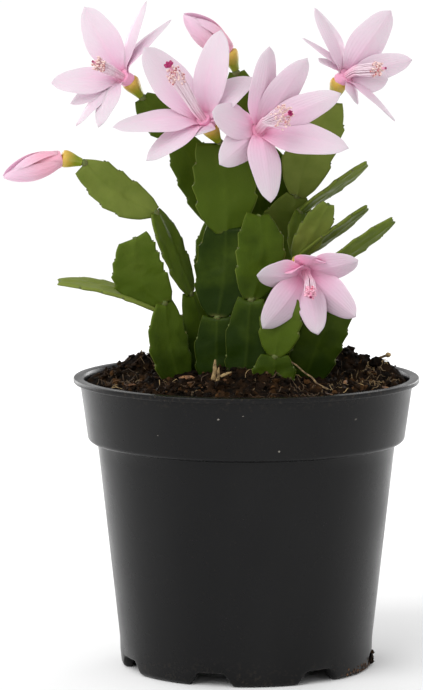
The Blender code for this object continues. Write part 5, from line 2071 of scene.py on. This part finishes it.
BLOOMS = (
    Bloom(
        "bloom_upper_left",
        seat=(-36.0, 2.0, 197.5),
        neck=(-40.5, -1.5, 203.5),
        throat=(-44.8, -6.0, 206.3),
        brush=(-51.5, -12.0, 210.0),
        spread=2.6,
        stigma=0.45,
        blush=-0.08,
        petals=(
            PetalPlan((-11.0, 5.0, 22.5), 13.0, 15.0, 0.95),
            PetalPlan((-22.5, 3.0, -3.5), 11.0, 0.0, 0.95),
            PetalPlan((-16.0, 7.0, -11.0), 9.0, 10.0, 0.75, 0.12),
            PetalPlan((-14.0, 4.0, -18.5), 9.0, 20.0, 0.7, 0.12),
            PetalPlan((-6.0, -4.0, -18.5), 10.0, 0.0, 0.95),
            PetalPlan((10.5, 5.0, 24.5), 10.0, -20.0, 0.6, 0.12),
            PetalPlan((19.0, 8.0, 18.0), 10.0, -18.0, 0.5, 0.12),
        ),
    ),
    Bloom(
        "bloom_centre_left",
        seat=(-9.5, -5.0, 182.5),
        neck=(-13.0, -10.0, 188.3),
        throat=(-17.2, -17.0, 194.2),
        brush=(-25.6, -26.0, 208.6),
        spread=3.2,
        stigma=1.65,
        petals=(
            PetalPlan((-18.0, 2.0, 21.3), 14.0, 0.0, 0.95),
            PetalPlan((8.4, 1.0, 27.3), 13.5, 25.0, 0.95),
            PetalPlan((-28.6, -1.0, -5.7), 12.0, -10.0, 0.95),
            PetalPlan((-17.1, -1.0, -17.2), 12.0, -8.0, 0.8, 0.12),
            PetalPlan((19.4, 8.0, 10.8), 12.5, 20.0, 0.9),
            PetalPlan((14.4, 7.0, -0.7), 11.0, 10.0, 0.7, 0.12),
            PetalPlan((0.7, -2.0, -8.2), 10.0, 0.0, 0.55, 0.12),
        ),
    ),
    Bloom(
        "bloom_front",
        seat=(2.0, 7.0, 181.0),
        neck=(2.4, -2.5, 184.0),
        throat=(5.5, -19.0, 190.0),
        brush=(13.3, -29.0, 193.5),
        spread=4.6,
        stigma=1.1,
        blush=0.12,
        petals=(
            PetalPlan((2.0, 1.0, 26.0), 12.5, 0.0, 0.95),
            PetalPlan((15.0, 2.0, 22.0), 12.5, 0.0, 0.9),
            PetalPlan((26.5, 1.0, 10.0), 10.5, 0.0, 0.95),
            PetalPlan((29.0, -2.0, -8.5), 12.5, 0.0, 0.95),
            PetalPlan((2.5, -3.0, -27.0), 12.5, 10.0, 0.95),
            PetalPlan((-15.0, -2.0, -14.0), 12.0, 0.0, 0.9),
            PetalPlan((-17.5, -4.0, 4.0), 12.5, 0.0, 0.95),
        ),
    ),
    Bloom(
        "bloom_upper_right",
        seat=(29.5, 2.0, 196.0),
        neck=(32.0, -1.0, 203.5),
        throat=(36.5, -5.0, 207.0),
        brush=(46.0, -10.0, 208.0),
        spread=2.6,
        stigma=0.45,
        blush=-0.12,
        petals=(
            PetalPlan((-13.3, 4.0, 21.5), 12.5, 0.0, 0.6, 0.12),
            PetalPlan((13.0, 4.0, 20.5), 13.5, -32.0, 0.95),
            PetalPlan((20.5, 6.0, 3.5), 9.5, 0.0, 0.9),
            PetalPlan((-17.5, 5.0, 11.0), 9.0, 20.0, 0.5, 0.12),
            PetalPlan((-12.0, 6.0, 4.0), 8.0, 0.0, 0.5, 0.12),
            PetalPlan((14.5, 1.0, -17.5), 9.0, -22.0, 0.7, 0.12),
            PetalPlan((1.5, -1.0, -11.5), 8.0, 0.0, 0.45, 0.12),
            PetalPlan((12.0, 1.0, -3.0), 10.0, 0.0, 0.95),
        ),
    ),
    Bloom(
        "bloom_lower_right",
        seat=(17.0, -1.0, 142.0),
        neck=(18.4, -9.5, 141.0),
        throat=(21.2, -22.0, 136.5),
        brush=(21.4, -30.0, 132.5),
        spread=2.2,
        stigma=0.45,
        blush=0.2,
        ripe=False,
        petals=(
            PetalPlan((-18.0, -1.0, 2.0), 11.5, 0.0, 0.95),
            PetalPlan((-16.0, 0.0, -16.5), 12.5, 0.0, 0.95),
            PetalPlan((3.0, -1.0, -18.5), 10.0, 0.0, 0.95),
            PetalPlan((16.0, 0.0, -12.5), 12.5, 0.0, 0.95),
            PetalPlan((16.5, -4.0, 7.5), 11.0, 0.0, 0.95),
            PetalPlan((0.5, -5.0, 9.0), 9.5, 0.0, 0.9, 0.55),
            PetalPlan((4.0, -4.0, 7.0), 8.0, 12.0, 0.8, 0.7),
            PetalPlan((-6.5, -5.0, 3.0), 7.0, -10.0, 0.8, 0.7),
        ),
    ),
)

BUDS = (
    Bud("bud_left", (-55.8, -7.0, 175.6), (-63.3, -8.5, 177.4), (-83.6, -10.0, 171.0), 4.2),
    Bud("bud_top", (-3.5, 4.0, 206.0), (-6.2, 2.2, 213.4), (-21.8, -2.0, 226.3), 4.4),
)


# ---- studio ------------------------------------------------------------------------------------------


@dataclass(frozen=True)
class Softbox:
    """One soft square light, its places in metres."""

    name: str
    place: Point
    target: Point
    size: float
    power: float

    def build(self) -> None:
        """Hang the light."""
        data = bpy.data.lights.new(self.name, "AREA")
        data.shape = "SQUARE"
        data.size = self.size
        data.energy = self.power
        lamp = put(self.name, data)
        lamp.location = self.place
        lamp.rotation_euler = (Vector(self.target) - Vector(self.place)).to_track_quat("-Z", "Y").to_euler()


@dataclass(frozen=True)
class Studio:
    """A pale floor, soft lights and the camera, sizes in metres and degrees."""

    floor_reach: float = 30.0
    floor_gap: float = 0.0001
    sky: float = 0.77
    sun_power: float = 1.55
    sun_spread: float = 45.0
    sun_turn: Point = (48.0, 0.0, -38.0)
    camera_place: Point = (-0.0121, -1.300, 0.268)
    camera_dip: float = 6.85
    lens: float = 197.0
    sensor: float = 36.0
    softboxes: tuple[Softbox, ...] = (
        Softbox("left_softbox", (-0.72, 0.80, 0.30), (0.0, 0.0, 0.08), 0.8, 5.2),
        Softbox("right_softbox", (0.56, 0.95, 0.30), (0.0, 0.0, 0.08), 0.4, 2.2),
    )

    def floor(self) -> None:
        """Lay the floor just under the pot's foot."""
        bm = bmesh.new()
        bmesh.ops.create_grid(bm, x_segments=8, y_segments=8, size=self.floor_reach)
        bmesh.ops.translate(bm, verts=bm.verts, vec=(0.0, 0.0, -self.floor_gap))
        floor = put("floor", to_mesh("floor", bm))
        floor.data.materials.append(Finish.FLOOR.material())

    def world(self) -> None:
        """Set the even pale light all round."""
        world = bpy.data.worlds.new("studio_air")
        world.use_nodes = True
        background = world.node_tree.nodes["Background"]
        background.inputs["Color"].default_value = (1.0, 1.0, 1.0, 1.0)
        background.inputs["Strength"].default_value = self.sky
        bpy.context.scene.world = world

    def sun(self) -> None:
        """Set the broad main light, high to the left in front."""
        data = bpy.data.lights.new("broad_light", "SUN")
        data.energy = self.sun_power
        data.angle = math.radians(self.sun_spread)
        put("broad_light", data).rotation_euler = [math.radians(angle) for angle in self.sun_turn]

    def camera(self) -> None:
        """Set the camera in front of the pot, looking slightly down."""
        data = bpy.data.cameras.new("camera")
        data.lens = self.lens
        data.sensor_width = self.sensor
        camera = put("camera", data)
        camera.location = self.camera_place
        camera.rotation_euler = (math.radians(90.0 - self.camera_dip), 0.0, 0.0)
        bpy.context.scene.camera = camera

    def build(self) -> None:
        """Set up the studio."""
        self.floor()
        self.world()
        self.sun()
        self.camera()
        for softbox in self.softboxes:
            softbox.build()
        bpy.context.scene.view_settings.view_transform = "Standard"


def main() -> None:
    """Build every piece of the plant in its studio."""
    logging.basicConfig(level=logging.INFO, format="%(message)s")
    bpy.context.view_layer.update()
    Studio().build()
    pot = NurseryPot()
    pot.build()
    Peat(pot, tuple(stem.root for stem in STEMS)).build()
    seats = {flower.seat for flower in (*BLOOMS, *BUDS)}
    for stem in STEMS:
        stem.build(seats)
    for flower in (*BLOOMS, *BUDS):
        flower.build()


if __name__ == "__main__":
    main()
